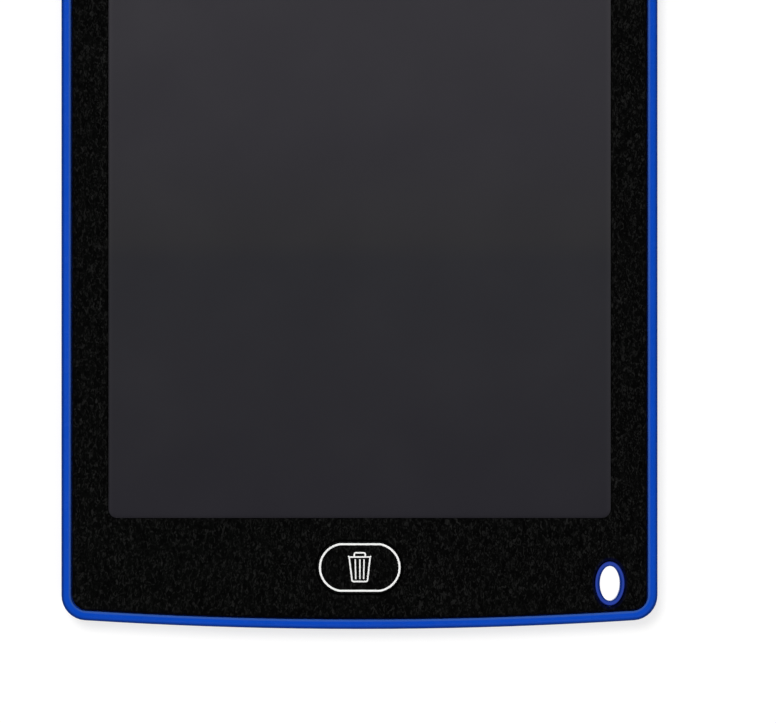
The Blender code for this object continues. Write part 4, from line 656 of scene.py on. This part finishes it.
def moulded(name, colour, roughness, grain, depth, specular=0.5, tint=0.12, wear=0.25):
    """Moulded plastic: cloudy tint, fine spark-eroded grain, uneven gloss and paler edges."""
    f = Finish(name, roughness, specular=specular)
    cloud = f.noise(grain * CLOUD_GRAINS, CLOUDY)
    fine = f.noise(grain, GRAINY)
    toned = f.mix(f.spread(cloud), shade(colour, 1 - tint), shade(colour, 1 + tint))
    grains = f.levels(fine, GRAIN_LOW, GRAIN_HIGH, 0.0, tint)
    toned = f.mix(grains, toned, shade(colour, 1 + 3 * tint))
    gain, lift = EDGE_PALE
    pale = tuple(min(1.0, channel * gain + lift) for channel in colour)
    toned = f.mix(f.times(f.worn_edges(grain * WEAR_GRAINS), wear), toned, pale)
    patches = f.noise(grain * GLOSS_GRAINS, PATCHY)
    gloss = f.spread(patches, roughness + MOULDED_GLOSS[0], roughness + MOULDED_GLOSS[1])
    return f.done(toned, gloss, f.bump(fine, depth))


def edge_distance(f):
    """Distance in from the tablet's outline, a rounded rectangle with a bowed bottom edge."""
    x, y, _ = f.axes()
    bow = f.times(f.times(x, x), OUTLINE_BOW / HALF_WIDTH ** 2)
    across = f.math("ABSOLUTE", x)
    along = f.math("MAXIMUM", y, f.math("SUBTRACT", bow, y))
    over_x = f.math("MAXIMUM", f.math("SUBTRACT", across, HALF_WIDTH - OUTLINE_CORNER))
    over_y = f.math("MAXIMUM", f.math("SUBTRACT", along, HALF_LENGTH - OUTLINE_CORNER))
    over = f.tree.nodes.new("ShaderNodeCombineXYZ")
    f.link(over_x, over.inputs[0])
    f.link(over_y, over.inputs[1])
    length = f.tree.nodes.new("ShaderNodeVectorMath")
    length.operation = "LENGTH"
    f.link(over.outputs[0], length.inputs[0])
    return f.math("SUBTRACT", OUTLINE_CORNER, length.outputs["Value"])


def ring_distance(f):
    """1 on the eyelet's outer edge, less towards the hole."""
    scaled = f.tree.nodes.new("ShaderNodeMapping")
    scaled.vector_type = "TEXTURE"
    scaled.inputs["Location"].default_value = (HOLE_X, HOLE_Y, 0.0)
    scaled.inputs["Scale"].default_value = (RING_HALF_WIDTH, RING_HALF_LENGTH, RING_HEIGHT)
    f.link(f.place, scaled.inputs["Vector"])
    length = f.tree.nodes.new("ShaderNodeVectorMath")
    length.operation = "LENGTH"
    f.link(scaled.outputs[0], length.inputs[0])
    return length.outputs["Value"]


def shell_colour(f, axes, fine, distance, wall):
    """Blue with a deeper outer edge and walls in painted shade, a pale inner band as a painted
    highlight, the eyelet's tones in painted shade, and worn back edges.
    """
    across, along, height = axes
    cloud = f.spread(f.noise(SHELL_CLOUD, CLOUDY))
    toned = f.mix(cloud, shade(BLUE, 1 - SHELL_CLOUD_TINT), shade(BLUE, 1 + SHELL_CLOUD_TINT))
    grains = f.levels(fine, GRAIN_LOW, GRAIN_HIGH, 0.0, SHELL_GRAIN_SHARE)
    toned = f.mix(grains, toned, shade(BLUE, SHELL_GRAIN_TINT))
    # Painted shade: the rim's outer edge darkens towards the outline
    outer = f.ramp(f.levels(distance, 0.0, RIM_EDGE_SHADE_REACH), RIM_EDGE_SHADE_TONES)
    # Painted shade: on the walls the blue is held at the walls' deeper tone
    outer = f.mix(wall, outer, f.mix(1.0, outer, WALL_SHADE_TONE, "LIGHTEN"))
    toned = f.gained(toned, outer)
    top = f.levels(height, THICKNESS - TOP_START, THICKNESS - TOP_FULL)
    # Painted shade deepens the left rim's outer line on the top face
    left = -HALF_WIDTH
    shaded = f.levels(across, left + LEFT_SHADE_START, left + LEFT_SHADE_END, LEFT_SHADE, 1.0)
    toned = f.mix(top, toned, f.gained(toned, shaded))
    # Painted highlight: a pale band along the rim's inner edge on the top face
    inside = f.levels(distance, RIM_PAINTED_HIGHLIGHT_START, RIM_PAINTED_HIGHLIGHT_FULL, 0.0, RIM_PAINTED_HIGHLIGHT_SHARE)
    beyond = f.levels(distance, RIM_PAINTED_HIGHLIGHT_END, RIM_PAINTED_HIGHLIGHT_GONE, 1.0, 0.0)
    panel_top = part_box("front_panel")[1].y
    beside = f.levels(along, panel_top - RIM_PAINTED_HIGHLIGHT_BELOW, panel_top - RIM_PAINTED_HIGHLIGHT_ABOVE, 1.0, 0.0)
    toned = f.mix(f.times(f.times(f.times(inside, beyond), top), beside), toned, RIM_PAINTED_HIGHLIGHT)
    # Painted shade on the eyelet's top, darker at its hole and at its outer edge
    away = ring_distance(f)
    ring = f.ramp(f.levels(away, RING_PAINTED_SHADE_START, RING_PAINTED_SHADE_END), RING_PAINTED_SHADE_TONES)
    near = f.times(f.levels(away, RING_EDGE_END, RING_EDGE_START), top)
    toned = f.mix(near, toned, ring)
    low = f.levels(height, WORN_START, WORN_FULL, 0.0, WORN_SHARE)
    return f.mix(f.times(f.worn_edges(WORN_RADIUS), low), toned, WORN_BLUE)


def shell_finish():
    """Blue moulded shell: satin rim with a deeper, matt outer edge in painted shade and a paler
    inner one as a painted highlight.
    """
    f = Finish("shell_blue", SHELL_ROUGHNESS, specular=SHELL_SPECULAR)
    distance = edge_distance(f)
    axes = f.axes()
    height = axes[2]
    fine = f.noise(SHELL_GRAIN, GRAINY)
    wall = f.levels(height, THICKNESS - WALL_FULL, THICKNESS - WALL_END, 1.0, 0.0)
    toned = shell_colour(f, axes, fine, distance, wall)
    patches = f.noise(SHELL_GLOSS_PATCH, PATCHY)
    gloss = f.spread(patches, SHELL_ROUGHNESS + SHELL_GLOSS[0], SHELL_ROUGHNESS + SHELL_GLOSS[1])
    matt = f.levels(height, BACK_EDGE_START, BACK_EDGE_FULL, 0.0, BACK_EDGE_MATT)
    gloss = f.math("ADD", gloss, matt)
    outermost = f.levels(distance, SHOULDER_NEAR, SHOULDER_FAR, 1.0, 0.0)
    shoulder = f.times(outermost, f.levels(wall, 0.0, 1.0, 1.0, 0.0))
    gloss = f.math("ADD", gloss, f.levels(shoulder, 0.0, 1.0, 0.0, SHOULDER_MATT))
    shine = f.levels(shoulder, 0.0, 1.0, SHELL_SPECULAR, SHOULDER_SPECULAR)
    shine = f.math("ADD", shine, f.levels(wall, 0.0, 1.0, 0.0, SHELL_SPECULAR))
    f.link(shine, f.shader.inputs["Specular IOR Level"])
    away = f.math("ABSOLUTE", f.math("SUBTRACT", height, SEAM_HEIGHT))
    on_wall = f.levels(distance, 0.0, SEAM_REACH, 1.0, 0.0)
    seam = f.times(f.levels(away, SEAM_NEAR, SEAM_FAR, 1.0, 0.0), on_wall)
    line = f.bump(seam, SEAM_RELIEF, SEAM_STRENGTH)
    return f.done(toned, gloss, f.bump(fine, SHELL_RELIEF, under=line))


def panel_finish(name):
    """Matt black sprayed face with short wandering flecks, as fine leather-like grain."""
    f = Finish(name, PANEL_ROUGHNESS, specular=PANEL_SPECULAR)
    long = f.mapped(scale=PANEL_STRETCH)
    bend = f.noise(PANEL_BEND, GRAINY, PANEL_BEND_WANDER, where=long)
    flecks = f.noise(FLECK_SIZE, SPECKLED, FLECK_WANDER, where=long)
    ground = f.mix(f.levels(bend, *PANEL_BEND_RANGE), *PANEL_GROUND)
    height = f.axes()[2]
    face = f.levels(height, THICKNESS - FLECK_START, THICKNESS - FLECK_FULL)
    toned = f.mix(f.times(f.levels(flecks, *FLECK_RANGE), face), ground, FLECK_TONE)
    # Painted shade tinted blue, in the gap beside the rim
    near, far = PANEL_INSET + RIM_SHADE_NEAR, PANEL_INSET + RIM_SHADE_FAR
    rim_shade = f.levels(edge_distance(f), near, far, RIM_SHADE_SHARE, 0.0)
    toned = f.mix(rim_shade, toned, RIM_SHADE)
    # Painted blue light from the eyelet on the panel around it
    ring_blue_light = f.levels(ring_distance(f), RING_BLUE_LIGHT_NEAR, RING_BLUE_LIGHT_FAR, 1.0, 0.0)
    toned = f.mix(f.times(ring_blue_light, RING_BLUE_LIGHT_SHARE), toned, RING_BLUE_LIGHT)
    return f.done(toned, f.spread(flecks, *FLECK_GLOSS), f.bump(flecks, FLECK_RELIEF))


def film_finish():
    """The grey writing film: a painted reflection lightens it towards the top edge, painted light
    lightens its sides, and it has a faint soft mottle.
    """
    f = Finish("film_grey", FILM_ROUGHNESS, specular=FILM_SPECULAR)
    x, y, _ = f.axes()
    low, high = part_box("lcd_film")
    span = high.y - low.y
    # The film's grey with a painted reflection, lighter towards the top edge
    tones = []
    for row, tone in FILM_GREY_AND_REFLECTION:
        tones.append(((PHOTO_BASE + (PHOTO_ROW - row) * PHOTO_SCALE - low.y) / span, tone))
    toned = f.ramp(f.levels(y, low.y, high.y), sorted(tones))
    # Painted light along the film's left and right sides
    across = f.math("ABSOLUTE", x)
    lit = f.levels(across, WINDOW_HALF_WIDTH - FILM_PAINTED_SIDE_LIGHT, WINDOW_HALF_WIDTH)
    toned = f.mix(f.math("POWER", lit, 2.0), toned, f.gained(toned, FILM_PAINTED_SIDE_LIGHT_GAIN))
    mottle = f.spread(f.noise(FILM_MOTTLE, PATCHY))
    toned = f.mix(mottle, toned, f.gained(toned, FILM_MOTTLE_GAIN))
    gloss = f.spread(f.noise(FILM_GLOSS_PATCH, SOFT), *FILM_GLOSS)
    return f.done(toned, gloss, f.bump(f.noise(FILM_GRAIN, FINE), FILM_RELIEF))


def turned_lines(f, size, middle):
    """Fine rings round an upright axis through a place, as a lathe or a press leaves them."""
    wave = f.tree.nodes.new("ShaderNodeTexWave")
    wave.wave_type = "RINGS"
    wave.rings_direction = "Z"
    wave.inputs["Scale"].default_value = 1.0 / size
    wave.inputs["Distortion"].default_value = TURNED_WANDER
    wave.inputs["Detail"].default_value = TURNED_DETAIL[0]
    wave.inputs["Detail Scale"].default_value = TURNED_DETAIL[1]
    f.link(f.mapped(move=(-middle[0], -middle[1], 0)), wave.inputs["Vector"])
    return wave.outputs["Fac"]


def metal(name, colour, roughness, brush=(1, 1, 1), size=0.0004, rings=None):
    """Metal with fine brushed or turned lines, small stains and brighter rubbed edges."""
    f = Finish(name, roughness, metallic=1.0)
    if rings:
        lines = turned_lines(f, size, rings)
    else:
        lines = f.noise(size, BRUSHED, where=f.mapped(scale=brush))
    stain = f.levels(f.noise(size * STAIN_LINES, CLOUDY), GRAIN_LOW, NOISE_HIGH)
    toned = f.mix(stain, shade(colour, STAIN_SHADE), colour)
    rubbed = f.times(f.worn_edges(RUBBED_RADIUS), RUBBED_SHARE)
    toned = f.mix(rubbed, toned, shade(colour, RUBBED_GAIN))
    gloss = f.levels(lines, *METAL_LINES, roughness + METAL_GLOSS[0], roughness + METAL_GLOSS[1])
    return f.done(toned, gloss, f.bump(lines, METAL_RELIEF))


def tape_finish(name, inked):
    """Paper-backed adhesive tape: fibres, small bubbles, and cut edges inked dark by a share."""
    f = Finish(name, TAPE_ROUGHNESS, specular=TAPE_SPECULAR)
    fibre = f.noise(TAPE_FIBRE, FIBROUS, where=f.mapped(scale=TAPE_STRETCH))
    toned = f.mix(f.spread(fibre), *TAPE_TONES)
    bubbles = f.levels(f.cells(TAPE_BUBBLE), 0.0, BUBBLE_REACH, BUBBLE_SHARE, 0.0)
    toned = f.mix(bubbles, toned, BUBBLE_TONE)
    normal = f.tree.nodes.new("ShaderNodeSeparateXYZ")
    f.link(f.tree.nodes.new("ShaderNodeNewGeometry").outputs["True Normal"], normal.inputs[0])
    upright = f.math("ABSOLUTE", normal.outputs["Z"])
    toned = f.mix(f.levels(upright, CUT_START, CUT_FULL, 0.0, inked), toned, INK_TONE)
    return f.done(toned, f.spread(fibre, *TAPE_GLOSS), f.bump(fibre, TAPE_RELIEF))


def board_finish():
    """Circuit board: green solder mask over raised tracks, with tinned pads."""
    f = Finish("board_green", BOARD_ROUGHNESS)
    track = f.tree.nodes.new("ShaderNodeTexBrick")
    track.inputs["Scale"].default_value = TRACK_SCALE
    track.inputs["Mortar Size"].default_value = TRACK_WIDTH
    for socket, grey in TRACK_GREYS.items():
        track.inputs[socket].default_value = (grey, grey, grey, 1.0)
    f.link(f.mapped(turn=(0, 0, TRACK_TURN)), track.inputs["Vector"])
    cloud = f.noise(MASK_CLOUD, SOFT)
    mask = f.mix(f.spread(cloud), *MASK_TONES)
    toned = f.mix(f.levels(track.outputs["Fac"], 0.0, 1.0, 0.0, TRACK_SHARE), mask, TRACK_TONE)
    toned = f.mix(f.levels(f.cells(PAD_SPACING), *PAD_RANGE), toned, PAD_TONE)
    relief = f.bump(track.outputs["Fac"], TRACK_RELIEF)
    return f.done(toned, f.spread(cloud, *MASK_GLOSS), relief)


def tail_finish():
    """Amber polyimide lead with copper conductors running along it."""
    f = Finish("tail_amber", TAIL_ROUGHNESS)
    wave = f.tree.nodes.new("ShaderNodeTexWave")
    wave.bands_direction = "X"
    wave.inputs["Scale"].default_value = COPPER_SCALE
    f.link(f.place, wave.inputs["Vector"])
    lines = f.levels(wave.outputs["Fac"], *COPPER_RANGE)
    cloud = f.noise(AMBER_CLOUD, SOFT)
    toned = f.mix(lines, f.mix(cloud, *AMBER_TONES), COPPER_TONE)
    return f.done(toned, f.spread(cloud, *TAIL_GLOSS), f.bump(lines, COPPER_RELIEF))


def part_finish(name, body, node):
    """A chip part: ceramic or resin body with tinned ends."""
    f = Finish(name, CHIP_ROUGHNESS)
    low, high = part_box(node)
    y = f.axes()[1]
    away = f.math("ABSOLUTE", f.math("SUBTRACT", y, (low.y + high.y) / 2))
    long = high.y - low.y
    speck = f.noise(CHIP_SPECK, GRAINY)
    toned = f.mix(f.spread(speck), shade(body, CHIP_DARK), shade(body, CHIP_PALE))
    toned = f.mix(f.levels(away, long * END_START, long * END_FULL), toned, TINNED)
    return f.done(toned, f.spread(speck, *CHIP_GLOSS), f.bump(speck, CHIP_RELIEF))


def print_finish():
    """White screen-printed ink: slightly uneven cover with soft relief."""
    f = Finish("print_white", INK_ROUGHNESS, specular=INK_SPECULAR)
    speck = f.noise(INK_SPECK, GRAINY)
    toned = f.mix(f.levels(speck, NOISE_LOW, GRAIN_HIGH), *INK_TONES)
    return f.done(toned, f.spread(speck, *INK_GLOSS), f.bump(speck, INK_RELIEF))


def cell_finish():
    """Pressed steel of the coin cell, with fine rings round its middle."""
    low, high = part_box("coin_cell")
    middle = ((low.x + high.x) / 2, (low.y + high.y) / 2)
    return metal("cell_steel", CELL_STEEL, CELL_ROUGHNESS, size=CELL_RINGS, rings=middle)


# Every finish of the tablet, by the name used below
FINISHES = {
    "shell": shell_finish(),
    "blue": moulded("satin_blue", BLUE, 0.26, 0.00028, 0.000004, specular=0.20, tint=0.05),
    "panel": panel_finish("panel_black"),
    "button": panel_finish("button_black"),
    "film": film_finish(),
    "tape": tape_finish("tape_white", 0.1),
    "inked_tape": tape_finish("tape_inked", 1.0),
    "support": moulded("support_black", (0.012, 0.012, 0.012), 0.6, 0.0006, 0.00001),
    "board": board_finish(),
    "resin": moulded("part_black", (0.010, 0.010, 0.010), 0.5, 0.00022, 0.000008),
    "grey": moulded("part_grey", (0.080, 0.080, 0.085), 0.5, 0.00025, 0.000008),
    "slide": moulded("slide_black", (0.012, 0.012, 0.013), 0.45, 0.00022, 0.000008, specular=0.3),
    "ivory": moulded("connector_ivory", (0.62, 0.57, 0.45), 0.5, 0.0003, 0.000006, tint=0.05),
    "tail": tail_finish(),
    "nickel": metal("contact_nickel", (0.62, 0.58, 0.50), 0.3, (1, 8, 1)),
    "steel": metal("screw_steel", (0.50, 0.50, 0.52), 0.3, (1, 1, 6)),
    "red": moulded("lead_red", (0.42, 0.010, 0.010), 0.42, 0.0003, 0.000005),
    "black": moulded("lead_black", (0.012, 0.012, 0.012), 0.42, 0.0003, 0.000005),
    "tip": moulded("tip_black", BLACK, 0.36, 0.0003, 0.000005, specular=0.3),
    "print": print_finish(),
    "ceramic_1": part_finish("ceramic_1", CERAMIC, "capacitor_1"),
    "ceramic_2": part_finish("ceramic_2", CERAMIC, "capacitor_2"),
    "ceramic_3": part_finish("ceramic_3", CERAMIC, "capacitor_3"),
    "resistive_1": part_finish("resistive_1", BLACK, "resistor_1"),
    "resistive_2": part_finish("resistive_2", BLACK, "resistor_2"),
    "cell": cell_finish(),
}

# The finish of each node that stays as it is
NODE_FINISHES = {
    "film_tape": "inked_tape",
    "panel_tape": "tape",
    "support_plate": "support",
    "film_tail": "tail",
    "tail_connector": "ivory",
    "switch_plunger": "ivory",
    "switch_housing": "grey",
    "circuit_board": "board",
    "driver_chip": "resin",
    "inductor": "grey",
    "lock_actuator": "slide",
    "lock_switch_body": "nickel",
    "cell_contact_negative": "nickel",
    "cell_contact_positive": "nickel",
    "battery_lead_negative": "black",
    "battery_lead_positive": "red",
    "capacitor_1": "ceramic_1",
    "capacitor_2": "ceramic_2",
    "capacitor_3": "ceramic_3",
    "resistor_1": "resistive_1",
    "resistor_2": "resistive_2",
}

# Smooth casings that stand for their nodes: node, body, record's slot and finish
CASINGS = [
    ("back_shell", "tablet", "shell_blue", "shell"),
    ("front_panel", "tablet", "panel_black", "panel"),
    ("lcd_film", "tablet", "film_grey", "film"),
    ("erase_button", "button", "button_black", "button"),
    ("battery_door", "door", "shell_blue", "blue"),
    ("lock_slider", "lock", "part_black", "slide"),
    ("door_screw", "screw", "screw_steel", "steel"),
    ("board_screw_1", "tablet", "screw_steel", "steel"),
    ("board_screw_2", "tablet", "screw_steel", "steel"),
    ("stylus_barrel", "stylus", "shell_blue", "blue"),
    ("stylus_tip", "stylus", "tip_black", "tip"),
    ("stylus_cap", "stylus", "tip_black", "tip"),
    ("coin_cell", "tablet", "cell_steel", "cell"),
]


def paint_nodes():
    """Give each CAD node that stays its finish in place of its plain one."""
    for node, finish in NODE_FINISHES.items():
        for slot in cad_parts[node].material_slots:
            slot.material = FINISHES[finish]


def merged_copy(node, name):
    """A node's mesh with its corners merged, shaded smooth between sharp edges."""
    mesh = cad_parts[node].data.copy()
    mesh.name = name
    if "custom_normal" in mesh.attributes:
        mesh.attributes.remove(mesh.attributes["custom_normal"])
    body = bmesh.new()
    body.from_mesh(mesh)
    bmesh.ops.remove_doubles(body, verts=body.verts, dist=MERGE)
    body.to_mesh(mesh)
    body.free()
    mesh.shade_smooth()
    mesh.set_sharp_from_angle(angle=SMOOTH)
    piece = bpy.data.objects.new(name, mesh)
    bpy.context.scene.collection.objects.link(piece)
    return piece


def add_casings():
    """Stand a smooth casing in for each node of the list, its normals even over larger faces."""
    for node, body, slot_name, finish in CASINGS:
        piece = merged_copy(node, node + "_skin")
        piece.data.materials.clear()
        piece.data.materials.append(FINISHES[finish])
        even = piece.modifiers.new("even_normals", "WEIGHTED_NORMAL")
        even.mode = "FACE_AREA"
        even.weight = EVEN_WEIGHT
        even.keep_sharp = True
        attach(piece, body)
        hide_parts(node)


def turned_unit(ahead):
    """Directions along a flat line, turned a quarter to its right and made of unit length."""
    normals = np.stack([ahead[:, 1], -ahead[:, 0]], axis=1)
    return normals / np.linalg.norm(normals, axis=1, keepdims=True)


def closed_normals(points):
    """Unit normals of a closed line, from the step between each point's two neighbours."""
    return turned_unit(np.roll(points, -1, axis=0) - np.roll(points, 1, axis=0))


def open_normals(points):
    """Unit normals of an open line, from its central differences."""
    return turned_unit(np.gradient(points, axis=0))


def print_profile(width, steps=6):
    """A low domed line in section: half an ellipse from edge to edge, and back along its foot."""
    t = np.linspace(0.0, math.pi, steps)
    top = np.stack([np.cos(t) * width / 2, np.sin(t) ** 0.5 * PRINT_HEIGHT], axis=1)
    foot = np.array([[-width / 2, -PRINT_SINK], [width / 2, -PRINT_SINK]])
    return np.concatenate([top, foot])


def carried(path, normals, profile, height, closed):
    """A profile carried along a path: each point is path plus normal times the profile's reach."""
    n, m = len(path), len(profile)
    reach, lift = profile[:, 0], profile[:, 1]
    flat = path[:, None, :] + normals[:, None, :] * reach[None, :, None]
    up = np.broadcast_to(height + lift[None, :, None], (n, m, 1))
    points = np.concatenate([flat, up], axis=2).reshape(-1, 3)
    rows = np.arange(n if closed else n - 1)
    i, j = np.meshgrid(rows, np.arange(m), indexing="ij")
    after, beside = (i + 1) % n, (j + 1) % m
    quads = np.stack([i * m + j, after * m + j, after * m + beside, i * m + beside], axis=2)
    faces = quads.reshape(-1, 4).tolist()
    if not closed:
        faces.append(list(range(m)))
        faces.append([(n - 1) * m + k for k in reversed(range(m))])
    return points, faces


def add_piece(name, parts, finish, body):
    """One mesh object from several lists of points and faces, with its normals turned outwards."""
    points, faces, start = [], [], 0
    for some_points, some_faces in parts:
        points.append(some_points)
        faces += [[start + index for index in face] for face in some_faces]
        start += len(some_points)
    mesh = bpy.data.meshes.new(name)
    mesh.from_pydata(np.concatenate(points).tolist(), [], faces)
    made = bmesh.new()
    made.from_mesh(mesh)
    bmesh.ops.recalc_face_normals(made, faces=made.faces)
    made.to_mesh(mesh)
    made.free()
    mesh.shade_smooth()
    mesh.set_sharp_from_angle(angle=CREASE)
    mesh.materials.append(FINISHES[finish])
    piece = bpy.data.objects.new(name, mesh)
    bpy.context.scene.collection.objects.link(piece)
    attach(piece, body)


def pill_path(length, width, straight, steps=40):
    """Two straight runs and two end arcs of one radius, which meet them at a slight corner."""
    rise, half = (length - straight) / 2, width / 2
    radius = (half ** 2 + rise ** 2) / (2 * rise)
    spread = math.asin(half / radius)
    t = np.linspace(-spread, spread, steps)
    middle = length / 2 - radius
    right = np.stack([middle + radius * np.cos(t), radius * np.sin(t)], axis=1)
    run = np.linspace(straight / 2, -straight / 2, steps)[1:-1]
    top = np.stack([run, np.full_like(run, half)], axis=1)
    return np.concatenate([right, top, -right, -top])


def rounded_line(corners, radii, steps=7):
    """An open line through corner points, in metres, from corners and radii in millimetres.

    Each inner corner gives way to a quadratic blend between its two neighbours' directions.
    """
    corners = np.array(corners, float)
    points = [corners[0]]
    for before, corner, after, radius in zip(corners, corners[1:], corners[2:], radii):
        start = corner + (before - corner) / np.linalg.norm(before - corner) * radius
        end = corner + (after - corner) / np.linalg.norm(after - corner) * radius
        t = np.linspace(0.0, 1.0, steps)[:, None]
        points += list((1 - t) ** 2 * start + 2 * t * (1 - t) * corner + t ** 2 * end)
    points.append(corners[-1])
    return np.array(points) * MM


def plan_middle(node):
    """A node's middle seen from above, and its lowest and highest Z."""
    low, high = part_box(node)
    return np.array([(low.x + high.x) / 2, (low.y + high.y) / 2]), low.z, high.z


def add_button_print():
    """The white outline and the bin symbol on the erase button."""
    middle, _, top = plan_middle("erase_button")
    centre = middle + (PRINT_SHIFT, 0.0)
    path = pill_path(OUTLINE_LENGTH, OUTLINE_WIDTH, OUTLINE_STRAIGHT) + centre
    ring = carried(path, closed_normals(path), print_profile(OUTLINE_LINE), top, True)
    add_piece("button_outline_print", [ring], "print", "button")
    lines = [(BIN_LINE, corners, radii) for corners, radii in BIN_FORMS]
    lines += [(RIB_LINE, [(upper, RIB_TOP), (lower, RIB_FOOT)], ()) for upper, lower in BIN_RIBS]
    parts = []
    for width, corners, radii in lines:
        placed = rounded_line(corners, radii) + centre
        parts.append(carried(placed, open_normals(placed), print_profile(width), top, False))
    add_piece("bin_symbol_print", parts, "print", "button")


def add_lock_symbols():
    """An open and a closed padlock, printed at the two ends of the recess round the lock's knob."""
    middle = plan_middle("lock_slider")[0] + (LOCK_TRAVEL / 2, 0.0)
    profile = print_profile(LOCK_LINE) * (1.0, -1.0)
    for side, (name, corners) in zip((-1.0, 1.0), SHACKLES.items()):
        place = middle + (side * LOCK_SYMBOL_REACH, 0.0)
        case = rounded_line(LOCK_CASE, CASE_RADII)[:-1] + place
        shackle = rounded_line(corners, SHACKLE_RADII) + place
        parts = [carried(case, closed_normals(case), profile, LOCK_RECESS, True)]
        parts.append(carried(shackle, open_normals(shackle), profile, LOCK_RECESS, False))
        add_piece(f"lock_symbol_{name}", parts, "print", "tablet")


def add_polarity_mark():
    """A raised plus on the coin cell's outer face, towards the door."""
    middle, bottom, _ = plan_middle("coin_cell")
    centre = middle + (0.0, MARK_RISE)
    profile = print_profile(MARK_LINE) * (1.0, -1.0)
    reach = np.linspace(-MARK_HALF, MARK_HALF, MARK_STEPS)
    parts = []
    for along in ((1.0, 0.0), (0.0, 1.0)):
        path = reach[:, None] * np.array(along) + centre
        parts.append(carried(path, open_normals(path), profile, bottom, False))
    add_piece("cell_plus_mark", parts, "grey", "tablet")


def add_screw_thread():
    """The door screw's thread: a pointed ridge wound up the shaft, fading out at both ends.

    Along t the ridge climbs by one pitch a turn. Each section is a triangle whose crest stands
    out by the depth times a share that falls to near zero at both ends, so the ridge grows and
    dies away.
    """
    centre = plan_middle("door_screw")[0]
    turns = (THREAD_HIGH - THREAD_LOW) / THREAD_PITCH
    t = np.linspace(0.0, 1.0, int(turns * THREAD_STEPS))
    angle = 2.0 * math.pi * turns * t
    swell = np.minimum(t, 1.0 - t) * turns / THREAD_END_TURNS
    swell = np.clip(swell, THREAD_END_SHARE, 1.0)
    foot = SCREW_SHAFT - THREAD_SINK
    crest = foot + (THREAD_DEPTH + THREAD_SINK) * swell
    half = THREAD_PITCH * THREAD_HALF_SHARE * swell
    climb = THREAD_LOW + (THREAD_HIGH - THREAD_LOW) * t
    reach = np.stack([np.full_like(t, foot), crest, np.full_like(t, foot)], axis=1)
    rise = climb[:, None] + np.stack([-half, np.zeros_like(half), half], axis=1)
    x = centre[0] + reach * np.cos(angle)[:, None]
    y = centre[1] + reach * np.sin(angle)[:, None]
    points = np.stack([x, y, rise], axis=2).reshape(-1, 3)
    i, j = np.meshgrid(np.arange(len(t) - 1), np.arange(3), indexing="ij")
    beside = (j + 1) % 3
    quads = np.stack([i * 3 + j, (i + 1) * 3 + j, (i + 1) * 3 + beside, i * 3 + beside], axis=2)
    faces = quads.reshape(-1, 4).tolist()
    last = 3 * (len(t) - 1)
    faces += [[0, 1, 2], [last + 2, last + 1, last]]
    add_piece("door_screw_thread", [(points, faces)], "steel", "screw")


set_camera()
set_world()
add_lamp("key", KEY_AZIMUTH, KEY_STRENGTH, KEY_ANGLE, KEY_COLOUR)
add_lamp("fill", FILL_AZIMUTH, FILL_STRENGTH, FILL_ANGLE, FILL_COLOUR)
set_floor()
paint_nodes()
add_casings()
add_button_print()
add_lock_symbols()
add_polarity_mark()
add_screw_thread()

bpy.context.scene.view_settings.view_transform = "Standard"
